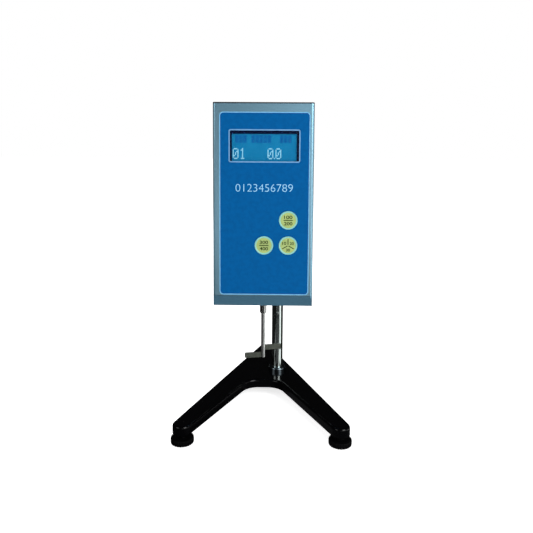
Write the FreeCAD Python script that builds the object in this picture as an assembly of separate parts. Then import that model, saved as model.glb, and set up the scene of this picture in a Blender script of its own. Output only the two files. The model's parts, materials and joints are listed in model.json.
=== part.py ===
import FreeCAD, Part
import math
import os

# Paddle viscometer on a V-shaped stand. Millimetres, Z up. The sizes are taken from the rotor's axis on
# the bench (x right, y away from the front); export() then moves all to the middle of the stand's base.

V = FreeCAD.Vector
X_AXIS = V(1, 0, 0)
Y_AXIS = V(0, 1, 0)
Z_AXIS = V(0, 0, 1)

# Stand casting, seen from above
FOOT_HALF_SPAN = 105.0
FRONT_FOOT_Y = -94.0
REAR_FOOT_Y = 195.0
LEG_END_R = 12.9
REAR_END_R = 10.5
CROTCH_Y = 46.2
CROTCH_FLAT = 7.0
CROTCH_R = 27.0
CAST_T = 12.8
CAST_EDGE_R = 3.5
CAST_WALL = 4.2
CAST_SKIN = 7.0
NUT_SKIN = 5.0
NUT_ROOM = 1.5
RIB_T = 3.6
RIB_RECESS = 1.0
RIB_PITCH = 56.0
FIRST_RIB = 62.0
REAR_RIB = 42.0
RIB_IN = 10.0
COLLAR_R = 14.0
COLLAR_H = 7.0
COLLAR_EDGE_R = 2.5

# Levelling feet
PAD_R = 12.0
PAD_T = 2.0
PAD_PROUD = 1.2
PAD_EDGE = 0.6
PAD_PIN_R = 3.0
PAD_PIN_L = 4.5
DISC_R = 15.5
DISC_T = 7.7
DISC_FLUTES = 12
FLUTE_DEPTH = 1.0
STUD_R = 4.0
STUD_L = 12.3
STUD_SHOULDER = 1.5
FOOT_GAP = 6.2
FOOT_SOCKET = 10.3

# Column, rack and stops
COLUMN_X = 21.6
COLUMN_Y = 88.0
COLUMN_R = 9.0
COLUMN_SOCKET = 9.0
TAIL_R = 6.0
NUT_H = 5.5
NUT_AF = 19.0
WASHER_T = 1.5
WASHER_R = 12.0
STOP_PIN_Z = 124.5
STOP_PIN_R = 2.5
STOP_PIN_PROUD = 3.6
STOP_PIN_EDGE = 0.9
STOP_STEM_R = 2.0
STOP_STEM_L = 6.5
CAP_R = 11.5
CAP_H = 8.0
CAP_BEVEL = 2.5
CAP_PLUG_R = 4.5
CAP_PLUG_L = 5.0
MODULE = 1.0
PINION_TEETH = 16
PRESSURE_ANGLE = math.radians(20.0)
BACKLASH = 0.12
RACK_W = 7.0
RACK_BACK = 2.4
RACK_MARGIN = 12.0
RACK_END = 6.0
RACK_END_DROP = 0.6
DEDENDUM = 1.25 * MODULE

# Lift block and what it carries
TRAVEL_DOWN = 60.0
TRAVEL_UP = 100.0
BLOCK_H = 64.0
BLOCK_LEFT = 16.0
BLOCK_RIGHT = 20.4
BLOCK_FRONT = 19.0
BLOCK_REAR = 31.0
BLOCK_EDGE_R = 6.0
BUSH_T = 2.0
LOWER_BUSH_H = 11.0
UPPER_BUSH_H = 8.0
PINION_RISE = 22.0
PINION_W = 6.4
SHAFT_R = 4.0
PINION_BUSH_T = 2.0
PINION_BUSH_L = 9.0
KNOB_R = 16.0
KNOB_T = 14.0
KNOB_NECK = 3.0
KNOB_LOBES = 6
KNOB_HUB = 0.5
KNOB_BEVEL = 2.5
KNOB_WEB = 3.0
LOBE_R = 0.26
LOBE_OUT = 0.62
CLAMP_DROP = 13.5
CLAMP_KNOB_R = 11.0
CLAMP_KNOB_T = 12.0
CLAMP_NECK = 1.5
CLAMP_LOBES = 5
CLAMP_SCREW_R = 3.0
CLAMP_PAD_R = 4.0
CLAMP_PAD_T = 4.0
CLAMP_TRAVEL = 0.75
ARM_DROP = 12.0
ARM_R = 7.0
ARM_FLANGE_R = 20.0
ARM_FLANGE_T = 6.0
ARM_TAIL = 2.0
ARM_BEVEL = 1.0
ARM_HOLE_ROOM = 2.0

# Head housing
HEAD_W = 137.8
HEAD_BOTTOM = 171.8
HEAD_TOP = 453.0
FACE_Y = -42.8
HEAD_DEPTH = 96.0
FRONT_CORNER_R = 4.0
REAR_CORNER_R = 9.0
CHIN_H = 15.2
CHIN_SLANT = 3.0
LIP_R = 2.0
CAP_T = 1.8
CAP_LIP = 4.0
CAP_EDGE = 0.6
FRAME_DEPTH = 16.0
FRAME_WALL = 3.0
FRAME_WEB = 3.2
COVER_WALL = 2.4
TRAY_FLOOR = 2.6
LEVEL_R = 9.0
LEVEL_H = 6.5
LEVEL_RIM = 1.5
LEVEL_SINK = 0.3
LEVEL_Y = 12.0
LEVEL_WALL = 2.0
LIP_T = 1.8
MIN_CORNER_R = 0.4

# Front panel, display and keys; the margins are from the head's edges
PANEL_LEFT = 9.0
PANEL_RIGHT = 5.7
PANEL_TOP = 13.0
PANEL_BOTTOM = 16.5
PANEL_T = 1.2
PANEL_SINK = 0.2
PANEL_CORNER_R = 5.4
WINDOW_LEFT = 21.4
WINDOW_TOP = 36.2
WINDOW_RIGHT = 18.7
WINDOW_H = 45.2
WINDOW_CORNER_R = 2.8
WINDOW_LEDGE = 1.9
GLASS_LEFT = 4.3
GLASS_RIGHT = 4.8
GLASS_TOP = 6.2
GLASS_BOTTOM = 1.9
BEZEL_BORDER = 4.0
BEZEL_FOOT = 8.0
BEZEL_T = 5.0
BEZEL_CORNER_R = 1.0
GLASS_SINK = 1.5
GLASS_T = 2.4
GLASS_EDGE = 2.0
BOARD_T = 1.6
BOARD_INSET = 0.5
DRIVER_R = 6.0
DRIVER_T = 1.2
DRIVER_PITCH = 44.0
LIGHT_MARGIN = 1.0
KEY_R = 12.7
KEY_PROUD = 0.6
KEY_DISH = 0.35
KEY_RIM = 1.3
KEY_FLANGE = 1.4
KEY_FLANGE_T = 1.0
KEY_TRAVEL = 0.5
KEY_RIGHT = 34.4
KEY_COLUMN_PITCH = 33.2
KEY_UPPER_DROP = 160.2
KEY_ROW_PITCH = 35.0
SWITCH_SIDE = 6.0
SWITCH_H = 4.0
SWITCH_PLUNGER_R = 1.7
SWITCH_CAN_T = 3.0
SWITCH_SLACK = 0.1
KEY_BOARD_SIDE = 2.5
KEY_BOARD_END = 4.0
KEY_EDGE = 0.3
DISH_SLOPE = 0.8

# Chassis
CHASSIS_T = 5.0
BACK_WALL_T = 4.0
WALL_SIDE_ROOM = 6.9
WALL_PORT_ROOM = 6.5
BACK_WALL_TOP = 6.0
BACK_WALL_CORNER_R = 6.0
GUSSET_DEEP = 9.0
GUSSET_H = 40.0
GUSSET_T = 4.0
GUSSET_IN = 12.0
COVER_SCREW_DROP = 82.0
COVER_SCREW_RISE = 8.0
COVER_SCREW_LEFT = 6.0
COVER_SCREW_RIGHT = 8.0
PILLAR_AF = 6.0
PILLAR_LEFT = 10.9
PILLAR_RIGHT = 4.0
PILLAR_END = 12.0
PILLAR_LUG = 6.0
TRAY_POST_SIDE = 14.0
TRAY_POST_FRONT = 7.0
TRAY_POST_REAR = 8.0
BOSS_R = 4.5
POST_R = 3.5

# Control board and transformer, one above the other over the motor; the free height is shared out
BOARD_STAND = 5.0
BOARD_H = 44.0
BOARD_SIDE = 5.0
BOARD_MARGIN = 4.0
BOARD_SHARE = 0.15
CHIP_SIDE = 14.0
CHIP_T = 3.0
CHIP_IN = 12.0
PLUG_W = 18.0
PLUG_H = 8.0
PLUG_T = 4.0
CAPACITOR_R = 5.0
CAPACITOR_L = 14.0
CAPACITOR_PITCH = 13.0
CORE_W = 48.0
CORE_H = 42.0
CORE_DEEP = 32.0
CORE_SHARE = 0.55
COIL_MARGIN = 9.0
COIL_DEEP = 40.0
COIL_RISE = 7.0
COIL_CORNER_R = 3.0
CORE_FOOT_W = 6.0
CORE_FOOT_T = 2.0
CORE_FOOT_H = 26.0

# Drive and rotor
HOUSING_R = 15.0
HOUSING_FLANGE_R = 24.0
HOUSING_FLANGE_T = 5.0
HOUSING_NECK = 14.0
HOUSING_NECK_IN = 1.5
HOUSING_EDGE = 1.0
BEARING_LEDGE = 1.5
LOWER_BEARING_IN = 2.5
UPPER_BEARING_IN = 1.5
BEARING_R = 11.0
BEARING_RACE = 2.4
BEARING_T = 7.0
SPINDLE_R = 4.0
SPINDLE_TAIL_R = 3.0
SPINDLE_TAIL = 11.0
SPINDLE_COLLAR = 1.2
COUPLING_R = 4.9
COUPLING_L = 21.8
COUPLING_FLAT = 3.0
COUPLING_FLAT_DROP = 4.0
COUPLING_FLAT_IN = 0.7
COUPLING_FOOT_BEVEL = 0.8
COUPLING_TOP_BEVEL = 0.4
ROTOR_SHAFT_R = 3.0
ROTOR_REACH = 89.0
ROTOR_GRIP = 9.5
ROTOR_BEVEL = 0.5
PADDLE_SPAN = 54.0
BLADE_H = 8.0
BLADE_T = 1.2
BLADE_STEP = 10.9
BLADE_CORNER_R = 1.5
BLADE_SINK = 1.6
PADDLE_TURN = math.degrees(0.177)
DISC_PLATE_R = 22.0
DISC_PLATE_T = 1.2
DISC_HUB_R = 6.0
DISC_HUB_H = 5.0
DISC_HUB_BELOW = 1.5
DISC_SLOTS = 8
SLOT_IN = 3.5
SLOT_OUT = 0.8
SLOT_W = 1.8
SENSING_RISE = 4.0
SENSOR_REACH = 3.0
SENSOR_W = 12.0
SENSOR_H = 6.4
SENSOR_GAP = 3.2
SENSOR_BOARD_SIDE = 3.0
SENSOR_BOARD_DROP = 8.0
SENSOR_BOARD_RISE = 1.0
ARBOR_H = 14.0
SPRING_T = 0.7
SPRING_H = 3.0
SPRING_TURNS = 2
SPRING_OUTER_R = 14.0
SPRING_PITCH = 3.6
STUD_PIN_R = 1.6
DISC_APART = 24.0
MOTOR_SIDE = 42.3
MOTOR_H = 40.0
MOTOR_BELL = 0.22
MOTOR_BEVEL = 4.0
CORE_IN = 1.0
CORE_BEVEL = 5.0
MOTOR_SHAFT_ROOM = 4.0
HUB_ROOM = 3.0
MOTOR_BOSS_R = 11.0
MOTOR_BOSS_H = 2.0
MOTOR_SHAFT_R = 2.5
BRACKET_T = 4.0
BRACKET_LEG = 8.0
BRACKET_LEG_PITCH = 50.0
BRACKET_SIDE = 60.0

# Rear fittings, from the head's left side and bottom
PORT_SIDE = 24.9
SERIAL_RISE = 88.0
INLET_RISE = 130.0
SWITCH_RISE = 172.0
INLET_W = 27.0
INLET_H = 19.5
INLET_DEEP = 17.0
INLET_BORDER = 2.5
INLET_FLANGE_T = 2.0
INLET_CORNER_R = 2.0
INLET_WALL = 1.8
INLET_FLOOR = 2.0
INLET_CUT = 4.2
PIN_SINK = 4.5
PIN_W = 2.0
PIN_H = 4.0
PIN_PITCH = 7.0
PIN_DROP = 1.5
EARTH_RISE = 2.5
ROCKER_W = 19.0
ROCKER_H = 13.0
ROCKER_DEEP = 14.0
ROCKER_THROW = 16.0
ROCKER_LEAN = 0.9
ROCKER_PROUD = 2.6
ROCKER_HOLLOW = 0.4
ROCKER_KEEL = 3.0
ROCKER_BELLY = 1.0
ROCKER_PIVOT = 5.0
PIVOT_R = 1.2
SWITCH_WALL = 1.5
SWITCH_BORDER = 1.5
SWITCH_FLANGE_T = 1.6
SWITCH_FLOOR = 2.0
TERMINAL_T = 0.8
TERMINAL_W = 4.8
TERMINAL_L = 5.0
TERMINAL_PITCH = 6.0
SERIAL_W = 30.8
SERIAL_H = 12.4
SERIAL_FLANGE_T = 1.0
SERIAL_BACK_W = 19.0
SERIAL_BACK_H = 10.0
SERIAL_BACK_L = 9.0
SERIAL_NOSE_W = 17.2
SERIAL_NOSE_TAPER = 1.4
SERIAL_NOSE_H = 8.4
SERIAL_NOSE_L = 6.5
SERIAL_NOSE_R = 1.8
SERIAL_POST_AF = 5.0
SERIAL_POST_L = 6.0
SERIAL_POST_PITCH = 25.0
PORT_FIT = 0.2
PORT_CORNER_R = 1.5
VENT_COUNT = 7
VENT_W = 62.0
VENT_H = 3.0
VENT_PITCH = 7.0
VENT_DROP = 24.0

# Clearances
RUN_FIT = 0.05
LOOSE_FIT = 0.3
SEAT_FIT = 0.02
END_GAP = 0.5

# How far joined solids run into each other, and how far a cut runs past a face
OVERLAP = 0.5
PAST = 1.0

# Levels and places that follow from the sizes above
DISC_BOTTOM = PAD_PROUD
DISC_TOP = DISC_BOTTOM + DISC_T
CAST_BOTTOM = DISC_TOP + FOOT_GAP
CAST_TOP = CAST_BOTTOM + CAST_T
SKIN_BOTTOM = CAST_TOP - CAST_SKIN
NUT_SEAT = CAST_TOP - NUT_SKIN
COLLAR_TOP = CAST_TOP + COLLAR_H
BLOCK_BOTTOM = STOP_PIN_Z + STOP_PIN_R + END_GAP + TRAVEL_DOWN
BLOCK_TOP = BLOCK_BOTTOM + BLOCK_H
PINION_Z = BLOCK_BOTTOM + PINION_RISE
PINION_PITCH_R = MODULE * PINION_TEETH / 2
RACK_TIP = math.sqrt(COLUMN_R ** 2 - (RACK_W / 2) ** 2) - 0.1
RACK_ROOT = RACK_TIP - 2.25 * MODULE
RACK_SEAT = RACK_ROOT - RACK_BACK
PINION_Y = COLUMN_Y + RACK_TIP - MODULE + PINION_PITCH_R
COLUMN_TOP = BLOCK_TOP + TRAVEL_UP + END_GAP
ARM_Z = BLOCK_TOP - ARM_DROP
CLAMP_Z = BLOCK_TOP - CLAMP_DROP
BUSH_R = COLUMN_R + RUN_FIT + BUSH_T
HALF_W = HEAD_W / 2
PORT_X = PORT_SIDE - HALF_W
BACK_WALL_LEFT = -PORT_X - INLET_W / 2 - WALL_PORT_ROOM
BACK_WALL_RIGHT = HALF_W - WALL_SIDE_ROOM
REAR_Y = FACE_Y + HEAD_DEPTH
SPLIT_Y = FACE_Y + FRAME_DEPTH
PART_Z = HEAD_BOTTOM + CHIN_H
CAP_Z = HEAD_TOP - CAP_T
COVER_INNER_Y = REAR_Y - COVER_WALL
FLANGE_Y = COVER_INNER_Y - END_GAP - ARM_FLANGE_T
BACK_WALL_Y = FLANGE_Y - BACK_WALL_T
PLATE_TOP = PART_Z + CHASSIS_T
PANEL_Y = FACE_Y + PANEL_SINK
PANEL_BACK_Y = PANEL_Y + PANEL_T
WEB_BACK_Y = FACE_Y + FRAME_WEB
PANEL_X0 = -HALF_W + PANEL_LEFT
PANEL_X1 = HALF_W - PANEL_RIGHT
PANEL_Z0 = HEAD_BOTTOM + PANEL_BOTTOM
PANEL_Z1 = HEAD_TOP - PANEL_TOP
WINDOW_X0 = -HALF_W + WINDOW_LEFT
WINDOW_X1 = HALF_W - WINDOW_RIGHT
WINDOW_Z1 = HEAD_TOP - WINDOW_TOP
WINDOW_Z0 = WINDOW_Z1 - WINDOW_H
GLASS_X0 = WINDOW_X0 + GLASS_LEFT
GLASS_X1 = WINDOW_X1 - GLASS_RIGHT
GLASS_Z0 = WINDOW_Z0 + GLASS_BOTTOM
GLASS_Z1 = WINDOW_Z1 - GLASS_TOP
KEY_X = HALF_W - KEY_RIGHT
KEY_Z = HEAD_TOP - KEY_UPPER_DROP
KEYS = {
    "key_upper": (KEY_X, KEY_Z),
    "key_left": (KEY_X - KEY_COLUMN_PITCH, KEY_Z - KEY_ROW_PITCH),
    "key_right": (KEY_X, KEY_Z - KEY_ROW_PITCH),
}
KEY_BACK_Y = WEB_BACK_Y + RUN_FIT + KEY_FLANGE_T
KEY_BOARD_Y = KEY_BACK_Y + KEY_TRAVEL + SWITCH_SLACK + SWITCH_H
HOUSING_BOTTOM = HEAD_BOTTOM + END_GAP
HOUSING_TOP = PLATE_TOP + HOUSING_NECK
LOWER_BEARING_Z = HOUSING_BOTTOM + LOWER_BEARING_IN
UPPER_BEARING_Z = HOUSING_TOP - BEARING_T - UPPER_BEARING_IN
COUPLING_TOP = HOUSING_BOTTOM - END_GAP
COUPLING_BOTTOM = COUPLING_TOP - COUPLING_L
SPINDLE_BOTTOM = COUPLING_TOP - SPINDLE_TAIL
ROTOR_BOTTOM = HEAD_BOTTOM - ROTOR_REACH
SENSING_Z = HOUSING_TOP + SENSING_RISE
ARBOR_TOP = SENSING_Z + ARBOR_H
DRIVE_Z = SENSING_Z + DISC_APART
SPRING_Z = ARBOR_TOP - SPRING_H
MOTOR_Z = DRIVE_Z + DISC_HUB_H + BRACKET_T + HUB_ROOM
BRACKET_TOP = MOTOR_Z
STACK_TOP = CAP_Z - PILLAR_END - PILLAR_AF
STACK_ROOM = STACK_TOP - MOTOR_Z - MOTOR_H - CORE_H - BOARD_H - 2 * BOARD_MARGIN
CORE_Z = MOTOR_Z + MOTOR_H + CORE_SHARE * STACK_ROOM
BOARD_Z = STACK_TOP - BOARD_MARGIN - BOARD_SHARE * STACK_ROOM
SERIAL_Z = HEAD_BOTTOM + SERIAL_RISE
INLET_Z = HEAD_BOTTOM + INLET_RISE
SWITCH_Z = HEAD_BOTTOM + SWITCH_RISE
FEET = {
    "left": (-FOOT_HALF_SPAN, FRONT_FOOT_Y),
    "right": (FOOT_HALF_SPAN, FRONT_FOOT_Y),
    "rear": (0.0, REAR_FOOT_Y),
}
MIDDLE_Y = (FRONT_FOOT_Y + REAR_FOOT_Y) / 2


# Plain solids

def box(x0, x1, y0, y1, z0, z1):
    return Part.makeBox(x1 - x0, y1 - y0, z1 - z0, V(x0, y0, z0))


def rod(radius, start, end):
    """Round bar between two points."""
    start = V(*start)
    along = V(*end) - start
    return Part.makeCylinder(radius, along.Length, start, along)


def upright(radius, z0, z1, x=0.0, y=0.0):
    return rod(radius, (x, y, z0), (x, y, z1))


def ring(outer, inner, z0, z1, x=0.0, y=0.0):
    return upright(outer, z0, z1, x, y).cut(upright(inner, z0 - PAST, z1 + PAST, x, y))


def turned(profile, x=0.0, y=0.0):
    """Solid of revolution about an upright axis from (radius, z) points."""
    points = [V(r, 0, z) for r, z in profile]
    face = Part.Face(Part.makePolygon(points + points[:1]))
    solid = face.revolve(V(0, 0, 0), Z_AXIS, 360)
    solid.translate(V(x, y, 0))
    return solid


def prism(points, along):
    """Solid from a closed run of points carried along a vector."""
    corners = [V(*p) for p in points]
    return Part.Face(Part.makePolygon(corners + corners[:1])).extrude(V(*along))


def fused(shapes):
    first, rest = shapes[0], list(shapes[1:])
    return first.fuse(rest).removeSplitter() if rest else first


def group(shapes):
    """Several separate solids in one node."""
    return Part.makeCompound(list(shapes))


def edges_along(shape, axis):
    """Straight edges that run along an axis."""
    return [e for e in shape.Edges if abs(e.tangentAt(e.FirstParameter).dot(axis)) > 0.99]


def face_plate(x0, x1, z0, z1, radius, y0, y1):
    """Upright plate with rounded corners, seen from the front."""
    plate = box(x0, x1, y0, y1, z0, z1)
    return plate.makeFillet(radius, edges_along(plate, Y_AXIS))


def centred_plate(x, z, width, height, radius, y0, y1):
    """Face plate about a middle."""
    return face_plate(x - width / 2, x + width / 2, z - height / 2, z + height / 2, radius, y0, y1)


def centred_box(x, z, width, height, y0, y1):
    """Box about a middle seen from the front."""
    return box(x - width / 2, x + width / 2, y0, y1, z - height / 2, z + height / 2)


def plan_prism(inset, z0, z1):
    """The head's outline from above, drawn in by an inset, between two levels."""
    body = box(-HALF_W + inset, HALF_W - inset, FACE_Y + inset, REAR_Y - inset, z0, z1)
    for radius, y in ((FRONT_CORNER_R, FACE_Y + inset), (REAR_CORNER_R, REAR_Y - inset)):
        corners = [e for e in edges_along(body, Z_AXIS) if abs(e.CenterOfMass.y - y) < 0.1]
        body = body.makeFillet(max(radius - inset, MIN_CORNER_R), corners)
    return body


def edges_at(shape, z):
    """Edges that lie level at a height."""
    return [e for e in shape.Edges if max(abs(e.BoundBox.ZMin - z), abs(e.BoundBox.ZMax - z)) < 1e-4]


# Stand

def belt_face(circles, z):
    """Outline that runs straight from circle to circle, as a belt does. Travel is anticlockwise; a circle
    with a radius above zero lies left of the belt (a round end), one below zero lies right (a hollow)."""
    count = len(circles)
    runs = []
    for i, (x1, y1, r1) in enumerate(circles):
        x2, y2, r2 = circles[(i + 1) % count]
        dx, dy = x2 - x1, y2 - y1
        length = math.hypot(dx, dy)
        slip = math.sqrt(length ** 2 - (r2 - r1) ** 2)
        ex, ey = dx / length, dy / length
        tx = (slip * ex + (r2 - r1) * ey) / length
        ty = (slip * ey - (r2 - r1) * ex) / length
        start = V(x1 + r1 * ty, y1 - r1 * tx, z)
        end = V(x2 + r2 * ty, y2 - r2 * tx, z)
        runs.append((start, end, math.atan2(ty, tx)))
    edges = []
    for i, (start, end, heading) in enumerate(runs):
        edges.append(Part.makeLine(start, end))
        following, _, next_heading = runs[(i + 1) % count]
        x, y, r = circles[(i + 1) % count]
        turn = (next_heading - heading) % (2 * math.pi)
        if r < 0:
            turn -= 2 * math.pi
        middle = heading + turn / 2
        halfway = V(x + r * math.sin(middle), y - r * math.cos(middle), z)
        edges.append(Part.Arc(end, halfway, following).toShape())
    return Part.Face(Part.Wire(edges))


def stand_outline(inset, z):
    """The V of the stand from above, drawn in by an inset."""
    return belt_face([
        (FOOT_HALF_SPAN, FRONT_FOOT_Y, LEG_END_R - inset),
        (0.0, REAR_FOOT_Y, REAR_END_R - inset),
        (-FOOT_HALF_SPAN, FRONT_FOOT_Y, LEG_END_R - inset),
        (-CROTCH_FLAT, CROTCH_Y - CROTCH_R, -CROTCH_R - inset),
        (CROTCH_FLAT, CROTCH_Y - CROTCH_R, -CROTCH_R - inset),
    ], z)


def rib(x0, y0, x1, y1):
    """Straight upright rib on the underside of the casting."""
    length = math.hypot(x1 - x0, y1 - y0)
    ux, uy = (x1 - x0) / length, (y1 - y0) / length
    nx, ny = -uy * RIB_T / 2, ux * RIB_T / 2
    z = CAST_BOTTOM + RIB_RECESS
    corners = [(x0 + nx, y0 + ny, z), (x1 + nx, y1 + ny, z), (x1 - nx, y1 - ny, z), (x0 - nx, y0 - ny, z)]
    return prism(corners, (0, 0, SKIN_BOTTOM - z + OVERLAP))


def base_casting():
    body = stand_outline(0.0, CAST_BOTTOM).extrude(V(0, 0, CAST_T))
    body = body.makeFillet(CAST_EDGE_R, edges_at(body, CAST_TOP))
    hollow = stand_outline(CAST_WALL, CAST_BOTTOM - PAST).extrude(V(0, 0, CAST_T - CAST_SKIN + PAST))
    ribs = []
    for side in (-1, 1):
        ribs.append(rib(side * FOOT_HALF_SPAN, FRONT_FOOT_Y, side * RIB_T / 2, REAR_FOOT_Y))
        for y in (FRONT_FOOT_Y + FIRST_RIB, FRONT_FOOT_Y + FIRST_RIB + RIB_PITCH):
            ribs.append(rib(side * RIB_IN, y, side * (FOOT_HALF_SPAN + RIB_IN), y))
    rear = COLUMN_Y + REAR_RIB
    ribs.append(rib(-FOOT_HALF_SPAN, rear, FOOT_HALF_SPAN, rear))
    bosses = []
    for name, (x, y) in FEET.items():
        end_r = REAR_END_R if name == "rear" else LEG_END_R
        bosses.append(upright(end_r - OVERLAP, CAST_BOTTOM, SKIN_BOTTOM + OVERLAP, x, y))
    body = body.cut(hollow).fuse([fused(ribs).common(hollow)] + bosses)
    cuts = [
        upright(COLUMN_R + SEAT_FIT, COLLAR_TOP - COLUMN_SOCKET, COLLAR_TOP, COLUMN_X, COLUMN_Y),
        upright(TAIL_R + RUN_FIT, CAST_BOTTOM, COLLAR_TOP, COLUMN_X, COLUMN_Y),
        upright(WASHER_R + NUT_ROOM, CAST_BOTTOM - PAST, NUT_SEAT, COLUMN_X, COLUMN_Y),
    ]
    for x, y in FEET.values():
        cuts.append(upright(STUD_R + RUN_FIT, CAST_BOTTOM - PAST, CAST_BOTTOM + FOOT_SOCKET, x, y))
    return body.cut(cuts).removeSplitter()


def column_collar():
    """Rounded collar that seats on the casting and steadies the column."""
    body = upright(COLLAR_R, CAST_TOP, COLLAR_TOP, COLUMN_X, COLUMN_Y)
    body = body.makeFillet(COLLAR_EDGE_R, edges_at(body, COLLAR_TOP))
    return body.cut(upright(COLUMN_R + SEAT_FIT, CAST_TOP - PAST, COLLAR_TOP + PAST, COLUMN_X, COLUMN_Y))


def hexagon(across_flats, z0, z1, x, y):
    corner = across_flats / math.sqrt(3)
    angles = [math.pi * k / 3 for k in range(6)]
    outline = [(x + corner * math.cos(a), y + corner * math.sin(a), z0) for a in angles]
    return prism(outline, (0, 0, z1 - z0))


def column_washer():
    return ring(WASHER_R, TAIL_R + LOOSE_FIT, NUT_SEAT - WASHER_T, NUT_SEAT, COLUMN_X, COLUMN_Y)


def column_nut():
    top = NUT_SEAT - WASHER_T
    bore = upright(TAIL_R + RUN_FIT, top - NUT_H - PAST, top + PAST, COLUMN_X, COLUMN_Y)
    return hexagon(NUT_AF, top - NUT_H, top, COLUMN_X, COLUMN_Y).cut(bore)


def foot_pad(x, y):
    """Rubber pad with the pin that the screw turns on."""
    return turned([
        (0, 0), (PAD_R - PAD_EDGE, 0), (PAD_R, PAD_EDGE), (PAD_R, PAD_T),
        (PAD_PIN_R, PAD_T), (PAD_PIN_R, PAD_T + PAD_PIN_L), (0, PAD_T + PAD_PIN_L),
    ], x, y)


def foot_screw(x, y):
    """Fluted disc and threaded stud, hollow below for the pad."""
    outline = []
    for k in range(2 * DISC_FLUTES):
        angle = math.pi * k / DISC_FLUTES
        reach = DISC_R - FLUTE_DEPTH if k % 2 else DISC_R
        outline.append((reach * math.cos(angle), reach * math.sin(angle), DISC_BOTTOM))
    disc = prism(outline, (0, 0, DISC_T))
    shoulder = upright(STUD_R + STUD_SHOULDER, DISC_TOP - PAST, DISC_TOP + STUD_SHOULDER)
    stud = upright(STUD_R, DISC_TOP, DISC_TOP + STUD_L)
    recess = upright(PAD_R + LOOSE_FIT, DISC_BOTTOM - PAST, PAD_T + RUN_FIT)
    bore = upright(PAD_PIN_R + RUN_FIT, 0, PAD_T + PAD_PIN_L + LOOSE_FIT)
    screw = fused([disc, shoulder, stud]).cut([recess, bore])
    screw.translate(V(x, y, 0))
    return screw


# Column and rack

def column():
    """Turned column with a tail below, a slot behind for the rack and a hole for the stop pin."""
    foot = COLLAR_TOP - COLUMN_SOCKET
    tail = NUT_SEAT - WASHER_T - NUT_H
    body = turned([
        (0, tail), (TAIL_R, tail), (TAIL_R, foot), (COLUMN_R, foot),
        (COLUMN_R, COLUMN_TOP), (0, COLUMN_TOP),
    ], COLUMN_X, COLUMN_Y)
    low, high = rack_span()
    slot = box(
        COLUMN_X - RACK_W / 2 - SEAT_FIT, COLUMN_X + RACK_W / 2 + SEAT_FIT,
        COLUMN_Y + RACK_SEAT, COLUMN_Y + COLUMN_R + PAST, low - SEAT_FIT, high + SEAT_FIT,
    )
    front = COLUMN_Y - COLUMN_R
    drilled = front + STOP_STEM_L + OVERLAP
    pin_hole = rod(STOP_STEM_R, (COLUMN_X, front - PAST, STOP_PIN_Z), (COLUMN_X, drilled, STOP_PIN_Z))
    depth = CAP_PLUG_L + PAST
    cap_hole = upright(CAP_PLUG_R + SEAT_FIT, COLUMN_TOP - depth, COLUMN_TOP + PAST, COLUMN_X, COLUMN_Y)
    return body.cut([slot, pin_hole, cap_hole])


def rack_span():
    """Lowest and highest level of the toothed strip, with room for its end screws."""
    return PINION_Z - TRAVEL_DOWN - RACK_MARGIN, PINION_Z + TRAVEL_UP + RACK_MARGIN


def column_rack():
    """Rack of straight-sided teeth; a tooth space faces the pinion at rest."""
    low, high = rack_span()
    pitch = math.pi * MODULE
    lean = math.tan(PRESSURE_ANGLE)
    half = pitch / 4 - BACKLASH / 2
    tip, root = COLUMN_Y + RACK_TIP, COLUMN_Y + RACK_ROOT
    toothed_low, toothed_high = low + RACK_END, high - RACK_END
    first = math.ceil((toothed_low - PINION_Z) / pitch - 0.5)
    last = math.floor((toothed_high - PINION_Z) / pitch - 0.5)
    x = COLUMN_X - RACK_W / 2
    seat = COLUMN_Y + RACK_SEAT
    end_face = tip - RACK_END_DROP
    points = [(x, seat, low), (x, end_face, low)]
    edge = PINION_Z + (first + 0.5) * pitch - half - DEDENDUM * lean
    points += [(x, end_face, edge - 1.0), (x, root, edge - 0.4)]
    for k in range(first, last + 1):
        z = PINION_Z + (k + 0.5) * pitch
        wide, thin = half + DEDENDUM * lean, half - MODULE * lean
        points += [(x, root, z - wide), (x, tip, z - thin), (x, tip, z + thin), (x, root, z + wide)]
    edge = PINION_Z + (last + 0.5) * pitch + half + DEDENDUM * lean
    points += [(x, root, edge + 0.4), (x, end_face, edge + 1.0), (x, end_face, high), (x, seat, high)]
    return prism(points, (RACK_W, 0, 0))


def column_cap():
    """Bevelled cap that stops the lift at the top."""
    dome = turned([
        (0, COLUMN_TOP), (CAP_R, COLUMN_TOP), (CAP_R, COLUMN_TOP + CAP_H - CAP_BEVEL),
        (CAP_R - CAP_BEVEL, COLUMN_TOP + CAP_H), (0, COLUMN_TOP + CAP_H),
    ], COLUMN_X, COLUMN_Y)
    plug = upright(CAP_PLUG_R, COLUMN_TOP - CAP_PLUG_L, COLUMN_TOP + PAST, COLUMN_X, COLUMN_Y)
    return fused([dome, plug])


def stop_pin():
    """Round-headed pin that stops the lift at the bottom."""
    root, nose = COLUMN_Y - COLUMN_R + STOP_STEM_L, COLUMN_Y - COLUMN_R - STOP_PIN_PROUD
    stem = rod(STOP_STEM_R - SEAT_FIT, (COLUMN_X, root, STOP_PIN_Z), (COLUMN_X, nose + PAST, STOP_PIN_Z))
    head = rod(STOP_PIN_R, (COLUMN_X, COLUMN_Y, STOP_PIN_Z), (COLUMN_X, nose, STOP_PIN_Z))
    head = head.makeChamfer(STOP_PIN_EDGE, [e for e in head.Edges if abs(e.CenterOfMass.y - nose) < 0.01])
    reach = 2 * STOP_PIN_R
    hull = upright(COLUMN_R + SEAT_FIT, STOP_PIN_Z - reach, STOP_PIN_Z + reach, COLUMN_X, COLUMN_Y)
    return fused([stem, head.cut(hull)])


# Lift

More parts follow.
